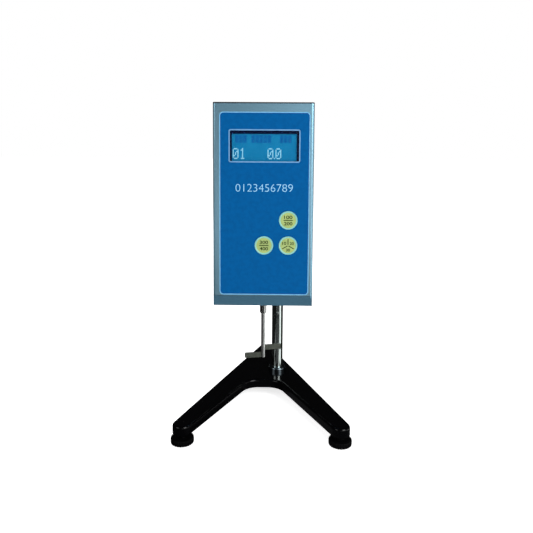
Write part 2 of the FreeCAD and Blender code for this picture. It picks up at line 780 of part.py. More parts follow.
def lift_block():
    """Block bored for the column and the arm, with a chamber for the pinion."""
    x0, x1 = -BLOCK_LEFT, COLUMN_X + BLOCK_RIGHT
    y0, y1 = COLUMN_Y - BLOCK_FRONT, COLUMN_Y + BLOCK_REAR
    body = box(x0, x1, y0, y1, BLOCK_BOTTOM, BLOCK_TOP)
    body = body.makeFillet(BLOCK_EDGE_R, edges_along(body, Z_AXIS))
    tip_r = PINION_PITCH_R + MODULE + LOOSE_FIT
    half = PINION_W / 2 + END_GAP
    chamber = rod(tip_r, (COLUMN_X - half, PINION_Y, PINION_Z), (COLUMN_X + half, PINION_Y, PINION_Z))
    window = box(COLUMN_X - half, COLUMN_X + half, COLUMN_Y, PINION_Y, PINION_Z - tip_r, PINION_Z + tip_r)
    bush_seat = SHAFT_R + RUN_FIT + PINION_BUSH_T + SEAT_FIT
    pad_end = clamp_back() + CLAMP_TRAVEL + END_GAP
    cuts = [
        upright(BUSH_R + SEAT_FIT, BLOCK_BOTTOM - PAST, BLOCK_BOTTOM + LOWER_BUSH_H, COLUMN_X, COLUMN_Y),
        upright(BUSH_R + SEAT_FIT, BLOCK_TOP - UPPER_BUSH_H, BLOCK_TOP + PAST, COLUMN_X, COLUMN_Y),
        upright(COLUMN_R + LOOSE_FIT * 2, BLOCK_BOTTOM, BLOCK_TOP, COLUMN_X, COLUMN_Y),
        chamber, window,
        rod(SHAFT_R + LOOSE_FIT, (x0 - PAST, PINION_Y, PINION_Z), (x1 + PAST, PINION_Y, PINION_Z)),
        rod(bush_seat, (x0 - PAST, PINION_Y, PINION_Z), (x0 + PINION_BUSH_L, PINION_Y, PINION_Z)),
        rod(bush_seat, (x1 - PINION_BUSH_L, PINION_Y, PINION_Z), (x1 + PAST, PINION_Y, PINION_Z)),
        rod(ARM_R + SEAT_FIT, (0, y0 - PAST, ARM_Z), (0, y1 + PAST, ARM_Z)),
        rod(CLAMP_SCREW_R + RUN_FIT, (COLUMN_X, COLUMN_Y, CLAMP_Z), (x1 + PAST, COLUMN_Y, CLAMP_Z)),
        rod(CLAMP_PAD_R + RUN_FIT, (COLUMN_X, COLUMN_Y, CLAMP_Z), (pad_end, COLUMN_Y, CLAMP_Z)),
    ]
    return body.cut(cuts)


def column_bushes():
    """Bronze sleeves at the foot and head of the block."""
    bore = COLUMN_R + RUN_FIT
    return group([
        ring(BUSH_R, bore, BLOCK_BOTTOM, BLOCK_BOTTOM + LOWER_BUSH_H, COLUMN_X, COLUMN_Y),
        ring(BUSH_R, bore, BLOCK_TOP - UPPER_BUSH_H, BLOCK_TOP, COLUMN_X, COLUMN_Y),
    ])


def pinion_bushes():
    """Bronze sleeves that carry the pinion's shaft."""
    x0, x1 = -BLOCK_LEFT, COLUMN_X + BLOCK_RIGHT
    inner = SHAFT_R + RUN_FIT
    bore = rod(inner, (x0 - PAST, PINION_Y, PINION_Z), (x1 + PAST, PINION_Y, PINION_Z))
    bushes = []
    for start, end in ((x0, x0 + PINION_BUSH_L), (x1 - PINION_BUSH_L, x1)):
        sleeve = rod(inner + PINION_BUSH_T, (start, PINION_Y, PINION_Z), (end, PINION_Y, PINION_Z))
        bushes.append(sleeve.cut(bore))
    return group(bushes)


def involute_wheel(teeth, width):
    """Spur wheel about the X axis with a tooth pointing to the front."""
    pitch_r = MODULE * teeth / 2
    base_r = pitch_r * math.cos(PRESSURE_ANGLE)
    tip_r, root_r = pitch_r + MODULE, pitch_r - DEDENDUM

    def flare(radius):
        """Angle by which the involute has turned at a radius."""
        reach = math.sqrt(max((radius / base_r) ** 2 - 1, 0))
        return reach - math.atan(reach)

    half_pitch_angle = (math.pi / 2 - BACKLASH / MODULE / 2) / teeth
    flank = [(r, half_pitch_angle + flare(pitch_r) - flare(r)) for r in (base_r, pitch_r, tip_r)]
    flank = [(root_r, flank[0][1])] + flank
    points = []
    for k in range(teeth):
        centre = math.pi + 2 * math.pi * k / teeth
        side = [(r, centre - a) for r, a in flank]
        other = [(r, centre + a) for r, a in reversed(flank)]
        points += [(0, r * math.cos(a), r * math.sin(a)) for r, a in side + other]
    return prism(points, (width, 0, 0))


def pinion_shaft():
    """Pinion and its cross shaft in one piece."""
    wheel = involute_wheel(PINION_TEETH, PINION_W)
    wheel.translate(V(COLUMN_X - PINION_W / 2, PINION_Y, PINION_Z))
    x0, x1 = knob_faces()
    reach = KNOB_T - KNOB_WEB
    bar = rod(SHAFT_R, (x0 - reach, PINION_Y, PINION_Z), (x1 + reach, PINION_Y, PINION_Z))
    return fused([wheel, bar])


def knob_faces():
    """Where the two lift knobs start, left and right."""
    return -BLOCK_LEFT - END_GAP - KNOB_NECK, COLUMN_X + BLOCK_RIGHT + END_GAP + KNOB_NECK


def lobed_knob(radius, thick, neck, lobes, bore, depth):
    """Knob about the Z axis from its inner face up, with finger hollows round it."""
    hub = radius * KNOB_HUB
    body = turned([
        (0, -neck), (hub, -neck), (hub, 0), (radius, 0),
        (radius, thick - KNOB_BEVEL), (radius - KNOB_BEVEL, thick), (0, thick),
    ])
    hollow_r = radius * LOBE_R
    reach = radius + hollow_r * LOBE_OUT
    cuts = [upright(bore + SEAT_FIT, -neck - PAST, depth)]
    for k in range(lobes):
        a = 2 * math.pi * k / lobes
        cuts.append(upright(hollow_r, -PAST, thick + PAST, reach * math.cos(a), reach * math.sin(a)))
    return body.cut(cuts)


def lift_knobs():
    """Knobs on both ends of the pinion's shaft."""
    knobs = []
    for x, angle in ((knob_faces()[0], -90), (knob_faces()[1], 90)):
        knob = lobed_knob(KNOB_R, KNOB_T, KNOB_NECK, KNOB_LOBES, SHAFT_R, KNOB_T - KNOB_WEB)
        knob.rotate(V(0, 0, 0), Y_AXIS, angle)
        knob.translate(V(x, PINION_Y, PINION_Z))
        knobs.append(knob)
    return group(knobs)


def clamp_back():
    """Outer end of the brass pad."""
    return COLUMN_X + COLUMN_R + RUN_FIT + CLAMP_PAD_T


def clamp_pad():
    """Brass pad, hollowed to the column, that the clamp screw presses."""
    pad = rod(CLAMP_PAD_R, (COLUMN_X, COLUMN_Y, CLAMP_Z), (clamp_back(), COLUMN_Y, CLAMP_Z))
    reach = 2 * CLAMP_PAD_R
    return pad.cut(upright(COLUMN_R + RUN_FIT, CLAMP_Z - reach, CLAMP_Z + reach, COLUMN_X, COLUMN_Y))


def clamp_knob():
    """Clamp knob with its screw."""
    x1 = COLUMN_X + BLOCK_RIGHT
    knob = lobed_knob(CLAMP_KNOB_R, CLAMP_KNOB_T, CLAMP_NECK, CLAMP_LOBES, CLAMP_SCREW_R - PAST, 0)
    knob.rotate(V(0, 0, 0), Y_AXIS, 90)
    seat = x1 + END_GAP + CLAMP_NECK
    knob.translate(V(seat, COLUMN_Y, CLAMP_Z))
    tip = clamp_back() + RUN_FIT
    screw = rod(CLAMP_SCREW_R, (tip, COLUMN_Y, CLAMP_Z), (seat + PAST, COLUMN_Y, CLAMP_Z))
    return fused([knob, screw])


def head_arm():
    """Round arm with the flange that bolts to the chassis."""
    flange = rod(ARM_FLANGE_R, (0, FLANGE_Y, ARM_Z), (0, FLANGE_Y + ARM_FLANGE_T, ARM_Z))
    bar = rod(ARM_R, (0, FLANGE_Y, ARM_Z), (0, COLUMN_Y + BLOCK_REAR + ARM_TAIL, ARM_Z))
    tail = [e for e in bar.Edges if e.CenterOfMass.y > COLUMN_Y + BLOCK_REAR and e.BoundBox.YLength < 0.01]
    bar = bar.makeChamfer(ARM_BEVEL, tail)
    return fused([flange, bar])


# Head housing

def inner_prism(inset, z0, z1, y0, y1):
    return plan_prism(inset, z0, z1).common(box(-HALF_W, HALF_W, y0, y1, z0, z1))


def frame_bosses():
    """Places of the four pillars between frame and chassis."""
    x0, x1 = -HALF_W + PILLAR_LEFT, BACK_WALL_RIGHT - PILLAR_RIGHT
    return [(x, z) for x in (x0, x1) for z in (PART_Z + PILLAR_END, CAP_Z - PILLAR_END)]


def front_frame():
    """Silver frame: a box-edged bezel with a sunk field for the panel."""
    body = inner_prism(0, PART_Z, CAP_Z, FACE_Y, SPLIT_Y)
    low, high = PART_Z + FRAME_WALL, CAP_Z - FRAME_WALL
    body = body.cut(inner_prism(FRAME_WALL, low, high, WEB_BACK_Y, SPLIT_Y + PAST))
    before, behind = FACE_Y - PAST, WEB_BACK_Y + PAST
    field = face_plate(PANEL_X0, PANEL_X1, PANEL_Z0, PANEL_Z1, PANEL_CORNER_R, before, PANEL_BACK_Y)
    ledge = WINDOW_LEDGE
    sight = face_plate(
        WINDOW_X0 + ledge, WINDOW_X1 - ledge, WINDOW_Z0 + ledge, WINDOW_Z1 - ledge,
        WINDOW_CORNER_R / 2, before, behind,
    )
    keyholes = [rod(KEY_R + LOOSE_FIT, (x, before, z), (x, behind, z)) for x, z in KEYS.values()]
    root = WEB_BACK_Y - OVERLAP
    posts = [rod(BOSS_R, (x, root, z), (x, SPLIT_Y, z)) for x, z in frame_bosses()]
    posts += [rod(POST_R, (x, root, z), (x, KEY_BOARD_Y, z)) for x, z in key_board_corners()]
    return body.fuse(posts).cut([field, sight] + keyholes)


def front_panel():
    """Thin keypad panel with holes for the keys and the window."""
    fit = RUN_FIT
    sheet = face_plate(
        PANEL_X0 + fit, PANEL_X1 - fit, PANEL_Z0 + fit, PANEL_Z1 - fit, PANEL_CORNER_R - fit,
        PANEL_Y, PANEL_BACK_Y,
    )
    before = FACE_Y - PAST
    sight = face_plate(WINDOW_X0, WINDOW_X1, WINDOW_Z0, WINDOW_Z1, WINDOW_CORNER_R, before, WEB_BACK_Y)
    keyholes = [rod(KEY_R + LOOSE_FIT, (x, before, z), (x, WEB_BACK_Y, z)) for x, z in KEYS.values()]
    return sheet.cut([sight] + keyholes)


def display_window():
    """Clear sheet flush in the panel, seated on the frame's ledge."""
    fit = RUN_FIT
    return face_plate(
        WINDOW_X0 + fit, WINDOW_X1 - fit, WINDOW_Z0 + fit, WINDOW_Z1 - fit, WINDOW_CORNER_R - fit,
        PANEL_Y, PANEL_BACK_Y,
    )


def bezel_sides():
    """Outer sides of the display's metal bezel."""
    return (
        WINDOW_X0 - BEZEL_BORDER, WINDOW_X1 + BEZEL_BORDER,
        WINDOW_Z0 - BEZEL_FOOT, WINDOW_Z1 + BEZEL_BORDER,
    )


def display_bezel():
    """Black bezel round the display's glass."""
    x0, x1, z0, z1 = bezel_sides()
    back = WEB_BACK_Y + BEZEL_T
    body = face_plate(x0, x1, z0, z1, BEZEL_CORNER_R, WEB_BACK_Y, back)
    sight = glass_box(0, WEB_BACK_Y - PAST, back + PAST)
    return body.cut([sight, glass_box(GLASS_EDGE, WEB_BACK_Y + GLASS_SINK, back + PAST)])


def glass_box(grow, y0, y1):
    """Box over the display's active field, grown on its four sides."""
    return box(GLASS_X0 - grow, GLASS_X1 + grow, y0, y1, GLASS_Z0 - grow, GLASS_Z1 + grow)


def display_glass():
    """Display cell behind the bezel."""
    front = WEB_BACK_Y + GLASS_SINK
    return glass_box(GLASS_EDGE - RUN_FIT, front, front + GLASS_T)


def display_board():
    """Circuit board that backs the display, with its driver chips and the light strip."""
    x0, x1, z0, z1 = bezel_sides()
    front = WEB_BACK_Y + BEZEL_T
    inset = BOARD_INSET
    board = box(x0 + inset, x1 - inset, front, front + BOARD_T, z0 + inset, z1 - inset)
    back_light = glass_box(GLASS_EDGE - LIGHT_MARGIN, WEB_BACK_Y + GLASS_SINK + GLASS_T, front)
    chips = []
    for side in (-1, 1):
        x, z = (x0 + x1 + side * DRIVER_PITCH) / 2, (z0 + z1) / 2
        chips.append(rod(DRIVER_R, (x, front, z), (x, front + BOARD_T + DRIVER_T, z)))
    return fused([board, back_light] + chips)


def key_board_corners():
    """Places of the key board's four posts."""
    side, end = KEY_R + KEY_BOARD_SIDE, KEY_R + KEY_BOARD_END
    xs = KEYS["key_left"][0] - side, KEYS["key_right"][0] + side
    zs = KEYS["key_left"][1] - end, KEYS["key_upper"][1] + end
    return [(x, z) for x in xs for z in zs]


def key_board():
    """Circuit board with a push switch behind each key."""
    pieces = [board_plate(key_board_corners(), POST_R, KEY_BOARD_Y)]
    can, plunger = KEY_BOARD_Y - SWITCH_CAN_T, KEY_BOARD_Y - SWITCH_H + KEY_TRAVEL
    for x, z in KEYS.values():
        pieces.append(centred_box(x, z, SWITCH_SIDE, SWITCH_SIDE, can, KEY_BOARD_Y + OVERLAP))
        pieces.append(rod(SWITCH_PLUNGER_R, (x, plunger, z), (x, KEY_BOARD_Y, z)))
    return fused(pieces)


def board_plate(posts, margin, front):
    """Bare circuit board over its posts."""
    xs, zs = zip(*posts)
    low, high = min(zs) - margin, max(zs) + margin
    return box(min(xs) - margin, max(xs) + margin, front, front + BOARD_T, low, high)


def key(x, z):
    """Round key with a raised rim, a shallow dished face and a flange that keeps it in."""
    face = PANEL_Y - KEY_PROUD
    depth = KEY_BACK_Y - face
    rim = KEY_R - KEY_RIM
    body = turned([
        (0, KEY_DISH), (rim - DISH_SLOPE, KEY_DISH), (rim, 0), (KEY_R - KEY_EDGE, 0), (KEY_R, KEY_EDGE),
        (KEY_R, depth - KEY_FLANGE_T), (KEY_R + KEY_FLANGE, depth - KEY_FLANGE_T),
        (KEY_R + KEY_FLANGE, depth), (0, depth),
    ])
    body.rotate(V(0, 0, 0), X_AXIS, -90)
    body.translate(V(x, face, z))
    return body


def rear_cover():
    """Rear shell, open to the front, top and bottom, pierced for the arm, the fittings and the vents."""
    body = inner_prism(0, PART_Z, CAP_Z, SPLIT_Y, REAR_Y)
    body = body.cut(inner_prism(COVER_WALL, PART_Z - PAST, CAP_Z + PAST, SPLIT_Y - PAST, COVER_INNER_Y))
    inside, outside = COVER_INNER_Y - PAST, REAR_Y + PAST
    cuts = [
        rod(ARM_R + ARM_HOLE_ROOM, (0, inside, ARM_Z), (0, outside, ARM_Z)),
        port_hole(INLET_Z, INLET_W, INLET_H),
        port_hole(SWITCH_Z, ROCKER_W + 2 * SWITCH_WALL, ROCKER_H + 2 * SWITCH_WALL),
        port_hole(SERIAL_Z, SERIAL_BACK_W, SERIAL_BACK_H),
    ]
    for k in range(VENT_COUNT):
        middle = CAP_Z - VENT_DROP - k * VENT_PITCH - VENT_H / 2
        cuts.append(centred_box(0, middle, VENT_W, VENT_H, inside, outside))
    return body.cut(cuts)


def port_hole(z, width, height):
    """Hole in the rear cover for a fitting's body."""
    room = 2 * PORT_FIT
    return centred_plate(
        PORT_X, z, width + room, height + room, PORT_CORNER_R, COVER_INNER_Y - PAST, REAR_Y + PAST
    )


def cover_bosses():
    """Places of the bosses that the rear cover is screwed to."""
    xs = COVER_SCREW_LEFT - BACK_WALL_LEFT, BACK_WALL_RIGHT - COVER_SCREW_RIGHT
    return [(x, z) for x in xs for z in (PART_Z + COVER_SCREW_RISE, CAP_Z - COVER_SCREW_DROP)]


def top_cap():
    """Dark lid with a lip that drops inside the rear cover and a seat for the level."""
    lid = plan_prism(0, CAP_Z, HEAD_TOP)
    lid = lid.makeChamfer(CAP_EDGE, edges_at(lid, HEAD_TOP))
    inset = COVER_WALL + LOOSE_FIT
    lip = inner_prism(inset, CAP_Z - CAP_LIP, CAP_Z + OVERLAP, SPLIT_Y + PAST, REAR_Y)
    lip = lip.cut(inner_prism(inset + LIP_T, CAP_Z - CAP_LIP - PAST, CAP_Z, SPLIT_Y, REAR_Y))
    cup = upright(LEVEL_R + LEVEL_WALL, HEAD_TOP - LEVEL_H, CAP_Z + OVERLAP, 0, LEVEL_Y)
    well = upright(LEVEL_R + SEAT_FIT, HEAD_TOP - LEVEL_H, HEAD_TOP + PAST, 0, LEVEL_Y)
    return fused([lid, lip, cup]).cut(well)


def bubble_level():
    """Round spirit level: a metal cup with a domed vial, flush with the lid."""
    rim = HEAD_TOP - LEVEL_SINK
    return turned([
        (0, HEAD_TOP - LEVEL_H), (LEVEL_R, HEAD_TOP - LEVEL_H), (LEVEL_R, rim), (LEVEL_R - LEVEL_RIM, rim),
        (LEVEL_R - LEVEL_RIM, rim - LEVEL_SINK), (0, rim),
    ], 0, LEVEL_Y)


def chin_profile():
    """Side view of the bottom cover: slanting front, rounded lower edges."""
    x = -HALF_W - PAST
    solid = prism([
        (x, FACE_Y, PART_Z), (x, FACE_Y + CHIN_SLANT, HEAD_BOTTOM), (x, REAR_Y, HEAD_BOTTOM),
        (x, REAR_Y, PART_Z),
    ], (HEAD_W + 2 * PAST, 0, 0))
    low = [e for e in edges_along(solid, X_AXIS) if abs(e.CenterOfMass.z - HEAD_BOTTOM) < 0.01]
    return solid.makeFillet(LIP_R, low)


def tray_posts():
    """Places of the four posts under the chassis plate."""
    xs = HALF_W - TRAY_POST_SIDE, TRAY_POST_SIDE - HALF_W
    return [(x, y) for x in xs for y in (SPLIT_Y + TRAY_POST_FRONT, BACK_WALL_Y - TRAY_POST_REAR)]


def bottom_cover():
    """Chin and underside of the head in one tray, with four posts and the hole for the spindle."""
    body = plan_prism(0, HEAD_BOTTOM, PART_Z).common(chin_profile())
    floor, front = HEAD_BOTTOM + TRAY_FLOOR, FACE_Y + CHIN_SLANT + FRAME_WALL
    body = body.cut(inner_prism(FRAME_WALL, floor, PART_Z + PAST, front, REAR_Y))
    posts = [upright(BOSS_R, floor - OVERLAP, PART_Z, x, y) for x, y in tray_posts()]
    return body.fuse(posts).cut(upright(HOUSING_R + LOOSE_FIT, HEAD_BOTTOM - PAST, PART_Z + PAST))


# Chassis and what stands on it

def chassis():
    """Cast frame of the head: a floor plate and a back wall with two gussets."""
    gap = END_GAP + FRAME_WALL
    plate = inner_prism(gap, PART_Z, PLATE_TOP, SPLIT_Y + PAST, REAR_Y)
    top = CAP_Z - BACK_WALL_TOP
    wall = box(-BACK_WALL_LEFT, BACK_WALL_RIGHT, BACK_WALL_Y, FLANGE_Y, PART_Z, top)
    corners = [e for e in edges_along(wall, Y_AXIS) if abs(e.CenterOfMass.z - top) < 0.1]
    wall = wall.makeFillet(BACK_WALL_CORNER_R, corners)
    pieces = [plate, wall]
    back, front, foot = BACK_WALL_Y + OVERLAP, BACK_WALL_Y - GUSSET_DEEP, PLATE_TOP - OVERLAP
    for x in (-BACK_WALL_LEFT, BACK_WALL_RIGHT - GUSSET_IN - GUSSET_T):
        corners = [(x, back, foot), (x, front, foot), (x, back, foot + GUSSET_H)]
        pieces.append(prism(corners, (GUSSET_T, 0, 0)))
    for x, z in cover_bosses():
        pieces.append(rod(BOSS_R, (x, FLANGE_Y - OVERLAP, z), (x, COVER_INNER_Y, z)))
    for x, z in board_posts():
        pieces.append(rod(POST_R, (x, BACK_WALL_Y - BOARD_STAND, z), (x, back, z)))
    for x, z in frame_bosses():
        if x < -BACK_WALL_LEFT:
            lug = PILLAR_LUG
            pieces.append(box(
                x - lug, lug / 2 - BACK_WALL_LEFT, BACK_WALL_Y, FLANGE_Y, max(z - lug, PART_Z), z + lug
            ))
    return fused(pieces).cut(upright(HOUSING_R + LOOSE_FIT, PART_Z - PAST, PLATE_TOP + PAST))


def board_posts():
    """Posts for the main board on the back wall."""
    xs = BOARD_SIDE - BACK_WALL_LEFT, BACK_WALL_RIGHT - BOARD_SIDE
    return [(x, z) for x in xs for z in (BOARD_Z - BOARD_H, BOARD_Z)]


def main_board():
    """Control board with its larger components."""
    front = BACK_WALL_Y - BOARD_STAND - BOARD_T
    root = front + OVERLAP
    x, z = BOARD_SIDE + CHIP_IN + CHIP_SIDE / 2 - BACK_WALL_LEFT, BOARD_Z - BOARD_H / 2
    plug_x, capacitor_z = x + CHIP_SIDE + PLUG_W / 2 + PLUG_H / 2, z + 2 * CAPACITOR_R
    pieces = [
        board_plate(board_posts(), BOARD_MARGIN, front),
        centred_box(x, z, CHIP_SIDE, CHIP_SIDE, front - CHIP_T, root),
        centred_box(plug_x, z - PLUG_H, PLUG_W, PLUG_H, front - PLUG_T, root),
    ]
    for k in range(2):
        at = plug_x + (k - 0.5) * CAPACITOR_PITCH
        pieces.append(rod(CAPACITOR_R, (at, front - CAPACITOR_L, capacitor_z), (at, root, capacitor_z)))
    return fused(pieces)


def transformer():
    """Mains transformer: core, winding and mounting foot on the back wall."""
    x = (BACK_WALL_RIGHT - BACK_WALL_LEFT) / 2
    z = CORE_Z + CORE_H / 2
    back, side = BACK_WALL_Y - CORE_FOOT_T, 2 * COIL_MARGIN
    foot = centred_box(x, z, CORE_W + 2 * CORE_FOOT_W, CORE_FOOT_H, back, BACK_WALL_Y)
    core = centred_box(x, z, CORE_W, CORE_H, back - CORE_DEEP, back)
    coil = centred_box(x, z, CORE_W - side, CORE_H - 2 * COIL_RISE, back - COIL_DEEP, back)
    coil = coil.makeFillet(COIL_CORNER_R, edges_along(coil, Z_AXIS))
    return fused([foot, core, coil])


def frame_pillars():
    """Four hexagonal pillars from the back wall to the front frame."""
    pillars = []
    for x, z in frame_bosses():
        pillar = hexagon(PILLAR_AF, 0, BACK_WALL_Y - SPLIT_Y, 0, 0)
        pillar.rotate(V(0, 0, 0), X_AXIS, -90)
        pillar.translate(V(x, SPLIT_Y, z))
        pillars.append(pillar)
    return group(pillars)


# Drive

def bearing_housing():
    """Flanged housing with a seat for a bearing at each end."""
    neck, edge, flange = HOUSING_R - HOUSING_NECK_IN, HOUSING_EDGE, PLATE_TOP + HOUSING_FLANGE_T
    body = turned([
        (0, HOUSING_BOTTOM), (HOUSING_R - edge, HOUSING_BOTTOM), (HOUSING_R, HOUSING_BOTTOM + edge),
        (HOUSING_R, PLATE_TOP), (HOUSING_FLANGE_R, PLATE_TOP), (HOUSING_FLANGE_R, flange),
        (neck, flange), (neck, HOUSING_TOP), (0, HOUSING_TOP),
    ])
    return body.cut([
        upright(BEARING_R - BEARING_LEDGE, HOUSING_BOTTOM - PAST, HOUSING_TOP + PAST),
        upright(BEARING_R + SEAT_FIT, HOUSING_BOTTOM - PAST, LOWER_BEARING_Z + BEARING_T),
        upright(BEARING_R + SEAT_FIT, UPPER_BEARING_Z, HOUSING_TOP + PAST),
    ])


def bearing_outer_rings():
    """Outer races with their shields."""
    inner = SPINDLE_R + BEARING_RACE + RUN_FIT
    return group([
        ring(BEARING_R, inner, z, z + BEARING_T) for z in (LOWER_BEARING_Z, UPPER_BEARING_Z)
    ])


def bearing_inner_rings():
    """Inner races, pressed on the spindle."""
    return group([
        ring(SPINDLE_R + BEARING_RACE, SPINDLE_R + SEAT_FIT, z, z + BEARING_T)
        for z in (LOWER_BEARING_Z, UPPER_BEARING_Z)
    ])


def spindle():
    """Stepped spindle: tail for the coupling, journals, shoulder between the bearings, arbor on top."""
    low_shoulder, high_shoulder = LOWER_BEARING_Z + BEARING_T, UPPER_BEARING_Z
    step, hub = SPINDLE_R + SPINDLE_COLLAR, SENSING_Z - DISC_HUB_BELOW
    return turned([
        (0, SPINDLE_BOTTOM), (SPINDLE_TAIL_R, SPINDLE_BOTTOM), (SPINDLE_TAIL_R, COUPLING_TOP),
        (SPINDLE_R, COUPLING_TOP), (SPINDLE_R, low_shoulder), (step, low_shoulder), (step, high_shoulder),
        (SPINDLE_R, high_shoulder), (SPINDLE_R, hub), (SPINDLE_TAIL_R, hub), (SPINDLE_TAIL_R, ARBOR_TOP),
        (0, ARBOR_TOP),
    ])


def slotted_disc(z, hub_z, hub_h, bore):
    """Thin disc with a hub and a ring of sensing slots."""
    plate = upright(DISC_PLATE_R, z, z + DISC_PLATE_T)
    hub = upright(DISC_HUB_R, hub_z, hub_z + hub_h)
    cuts = [upright(bore + SEAT_FIT, hub_z - PAST, hub_z + hub_h + PAST)]
    inner, outer = DISC_PLATE_R - SLOT_IN, DISC_PLATE_R - SLOT_OUT
    for k in range(DISC_SLOTS):
        slot = box(inner, outer, -SLOT_W / 2, SLOT_W / 2, z - PAST, z + DISC_PLATE_T + PAST)
        slot.rotate(V(0, 0, 0), Z_AXIS, 360.0 * (k + 0.5) / DISC_SLOTS)
        cuts.append(slot)
    return fused([plate, hub]).cut(cuts)


def sensing_disc():
    return slotted_disc(SENSING_Z, SENSING_Z - DISC_HUB_BELOW, DISC_HUB_H, SPINDLE_TAIL_R)


def drive_disc():
    """Disc on the motor's shaft, with the stud that holds the spring's outer end."""
    plate = DRIVE_Z + DISC_HUB_H - DISC_PLATE_T
    disc = slotted_disc(plate, DRIVE_Z, DISC_HUB_H, MOTOR_SHAFT_R)
    x = spring_end() + STUD_PIN_R + RUN_FIT
    return fused([disc, upright(STUD_PIN_R, SPRING_Z, plate + DISC_PLATE_T / 2, x)])


def spring_end():
    """Outer reach of the spring at its stud."""
    return SPRING_OUTER_R + SPRING_T / 2


def hairspring():
    """Flat spiral spring, drawn as half circles that widen by half a pitch each."""
    start = SPRING_OUTER_R - SPRING_TURNS * SPRING_PITCH
    outlines = []
    for shift in (-SPRING_T / 2, SPRING_T / 2):
        arcs = []
        for k in range(2 * SPRING_TURNS):
            side = 1 if k % 2 == 0 else -1
            centre = -side * SPRING_PITCH / 4
            r = start + (k + 0.5) * SPRING_PITCH / 2 + shift
            arcs.append((V(centre + side * r, 0, 0), V(centre, side * r, 0), V(centre - side * r, 0, 0)))
        outlines.append(arcs)
    inner, outer = outlines
    wire = [Part.Arc(a, m, b).toShape() for a, m, b in inner]
    wire.append(Part.makeLine(inner[-1][2], outer[-1][2]))
    wire += [Part.Arc(b, m, a).toShape() for a, m, b in reversed(outer)]
    wire.append(Part.makeLine(outer[0][0], inner[0][0]))
    strip = Part.Face(Part.Wire(wire)).extrude(V(0, 0, SPRING_H))
    strip.translate(V(0, 0, SPRING_Z))
    collet = ring(start - SPRING_T / 2 + 0.1, SPINDLE_TAIL_R + SEAT_FIT, SPRING_Z, SPRING_Z + SPRING_H)
    return fused([strip, collet])


def motor_shaft():
    return upright(MOTOR_SHAFT_R, DRIVE_Z, MOTOR_Z + MOTOR_H - MOTOR_SHAFT_ROOM)


def motor_body():
    """Square stepping motor with cut corners, end bells and a centring boss."""
    top, bell = MOTOR_Z + MOTOR_H, MOTOR_H * MOTOR_BELL
    pieces = [upright(MOTOR_BOSS_R, MOTOR_Z - MOTOR_BOSS_H, MOTOR_Z + PAST)]
    for half, z0, z1, bevel in (
        (MOTOR_SIDE / 2, MOTOR_Z, MOTOR_Z + bell, MOTOR_BEVEL),
        (MOTOR_SIDE / 2 - CORE_IN, MOTOR_Z + bell - PAST, top - bell + PAST, CORE_BEVEL),
        (MOTOR_SIDE / 2, top - bell, top, MOTOR_BEVEL),
    ):
        block = box(-half, half, -half, half, z0, z1)
        pieces.append(block.makeChamfer(bevel, edges_along(block, Z_AXIS)))
    bore_top = top - MOTOR_SHAFT_ROOM + OVERLAP
    return fused(pieces).cut(upright(MOTOR_SHAFT_R + RUN_FIT, MOTOR_Z - MOTOR_BOSS_H - PAST, bore_top))


def motor_bracket():
    """Plate on four square legs that carries the motor over the discs."""
    half, reach, side = BRACKET_SIDE / 2, BRACKET_LEG_PITCH / 2, BRACKET_LEG / 2
    under = BRACKET_TOP - BRACKET_T
    pieces = [box(-half, half, -half, half, under, BRACKET_TOP)]
    for x in (-reach, reach):
        for y in (-reach, reach):
            pieces.append(box(x - side, x + side, y - side, y + side, PLATE_TOP, under + OVERLAP))
    return fused(pieces).cut(upright(MOTOR_BOSS_R + SEAT_FIT, under - PAST, BRACKET_TOP + PAST))


def disc_sensors():
    """Sensor board on the bracket's rear legs with a slotted sensor over each disc's rim."""
    reach = BRACKET_LEG_PITCH / 2
    front = reach + BRACKET_LEG / 2
    side, low = reach + SENSOR_BOARD_SIDE, SENSING_Z - SENSOR_BOARD_DROP
    top = DRIVE_Z + DISC_HUB_H + SENSOR_BOARD_RISE
    pieces, cuts = [box(-side, side, front, front + BOARD_T, low, top)], []
    for z in (SENSING_Z, DRIVE_Z + DISC_HUB_H - DISC_PLATE_T):
        middle = z + DISC_PLATE_T / 2
        nose, throat = DISC_PLATE_R - SENSOR_REACH, DISC_PLATE_R + SENSOR_REACH - PAST
        pieces.append(centred_box(0, middle, SENSOR_W, SENSOR_H, nose, front + OVERLAP))
        cuts.append(centred_box(0, middle, SENSOR_W + PAST, SENSOR_GAP, nose - PAST, throat))
    return fused(pieces).cut(cuts)


# Rotor

def coupling():
    """Sleeve between spindle and rotor shaft with two spanner flats."""
    foot, head = COUPLING_FOOT_BEVEL, COUPLING_TOP_BEVEL
    body = turned([
        (0, COUPLING_BOTTOM), (COUPLING_R - foot, COUPLING_BOTTOM), (COUPLING_R, COUPLING_BOTTOM + foot),
        (COUPLING_R, COUPLING_TOP - head), (COUPLING_R - head, COUPLING_TOP), (0, COUPLING_TOP),
    ])
    flat, edge = COUPLING_R - COUPLING_FLAT_IN, COUPLING_R + PAST
    z1 = COUPLING_TOP - COUPLING_FLAT_DROP
    z0 = z1 - COUPLING_FLAT
    return body.cut([
        upright(SPINDLE_TAIL_R + SEAT_FIT, SPINDLE_BOTTOM, COUPLING_TOP + PAST),
        upright(ROTOR_SHAFT_R + SEAT_FIT, COUPLING_BOTTOM - PAST, SPINDLE_BOTTOM),
        box(-edge, edge, flat, edge, z0, z1),
        box(-edge, edge, -edge, -flat, z0, z1),
    ])


def blade_levels():
    """Lower edges of the low blade and the high blade."""
    return ROTOR_BOTTOM, ROTOR_BOTTOM + BLADE_STEP


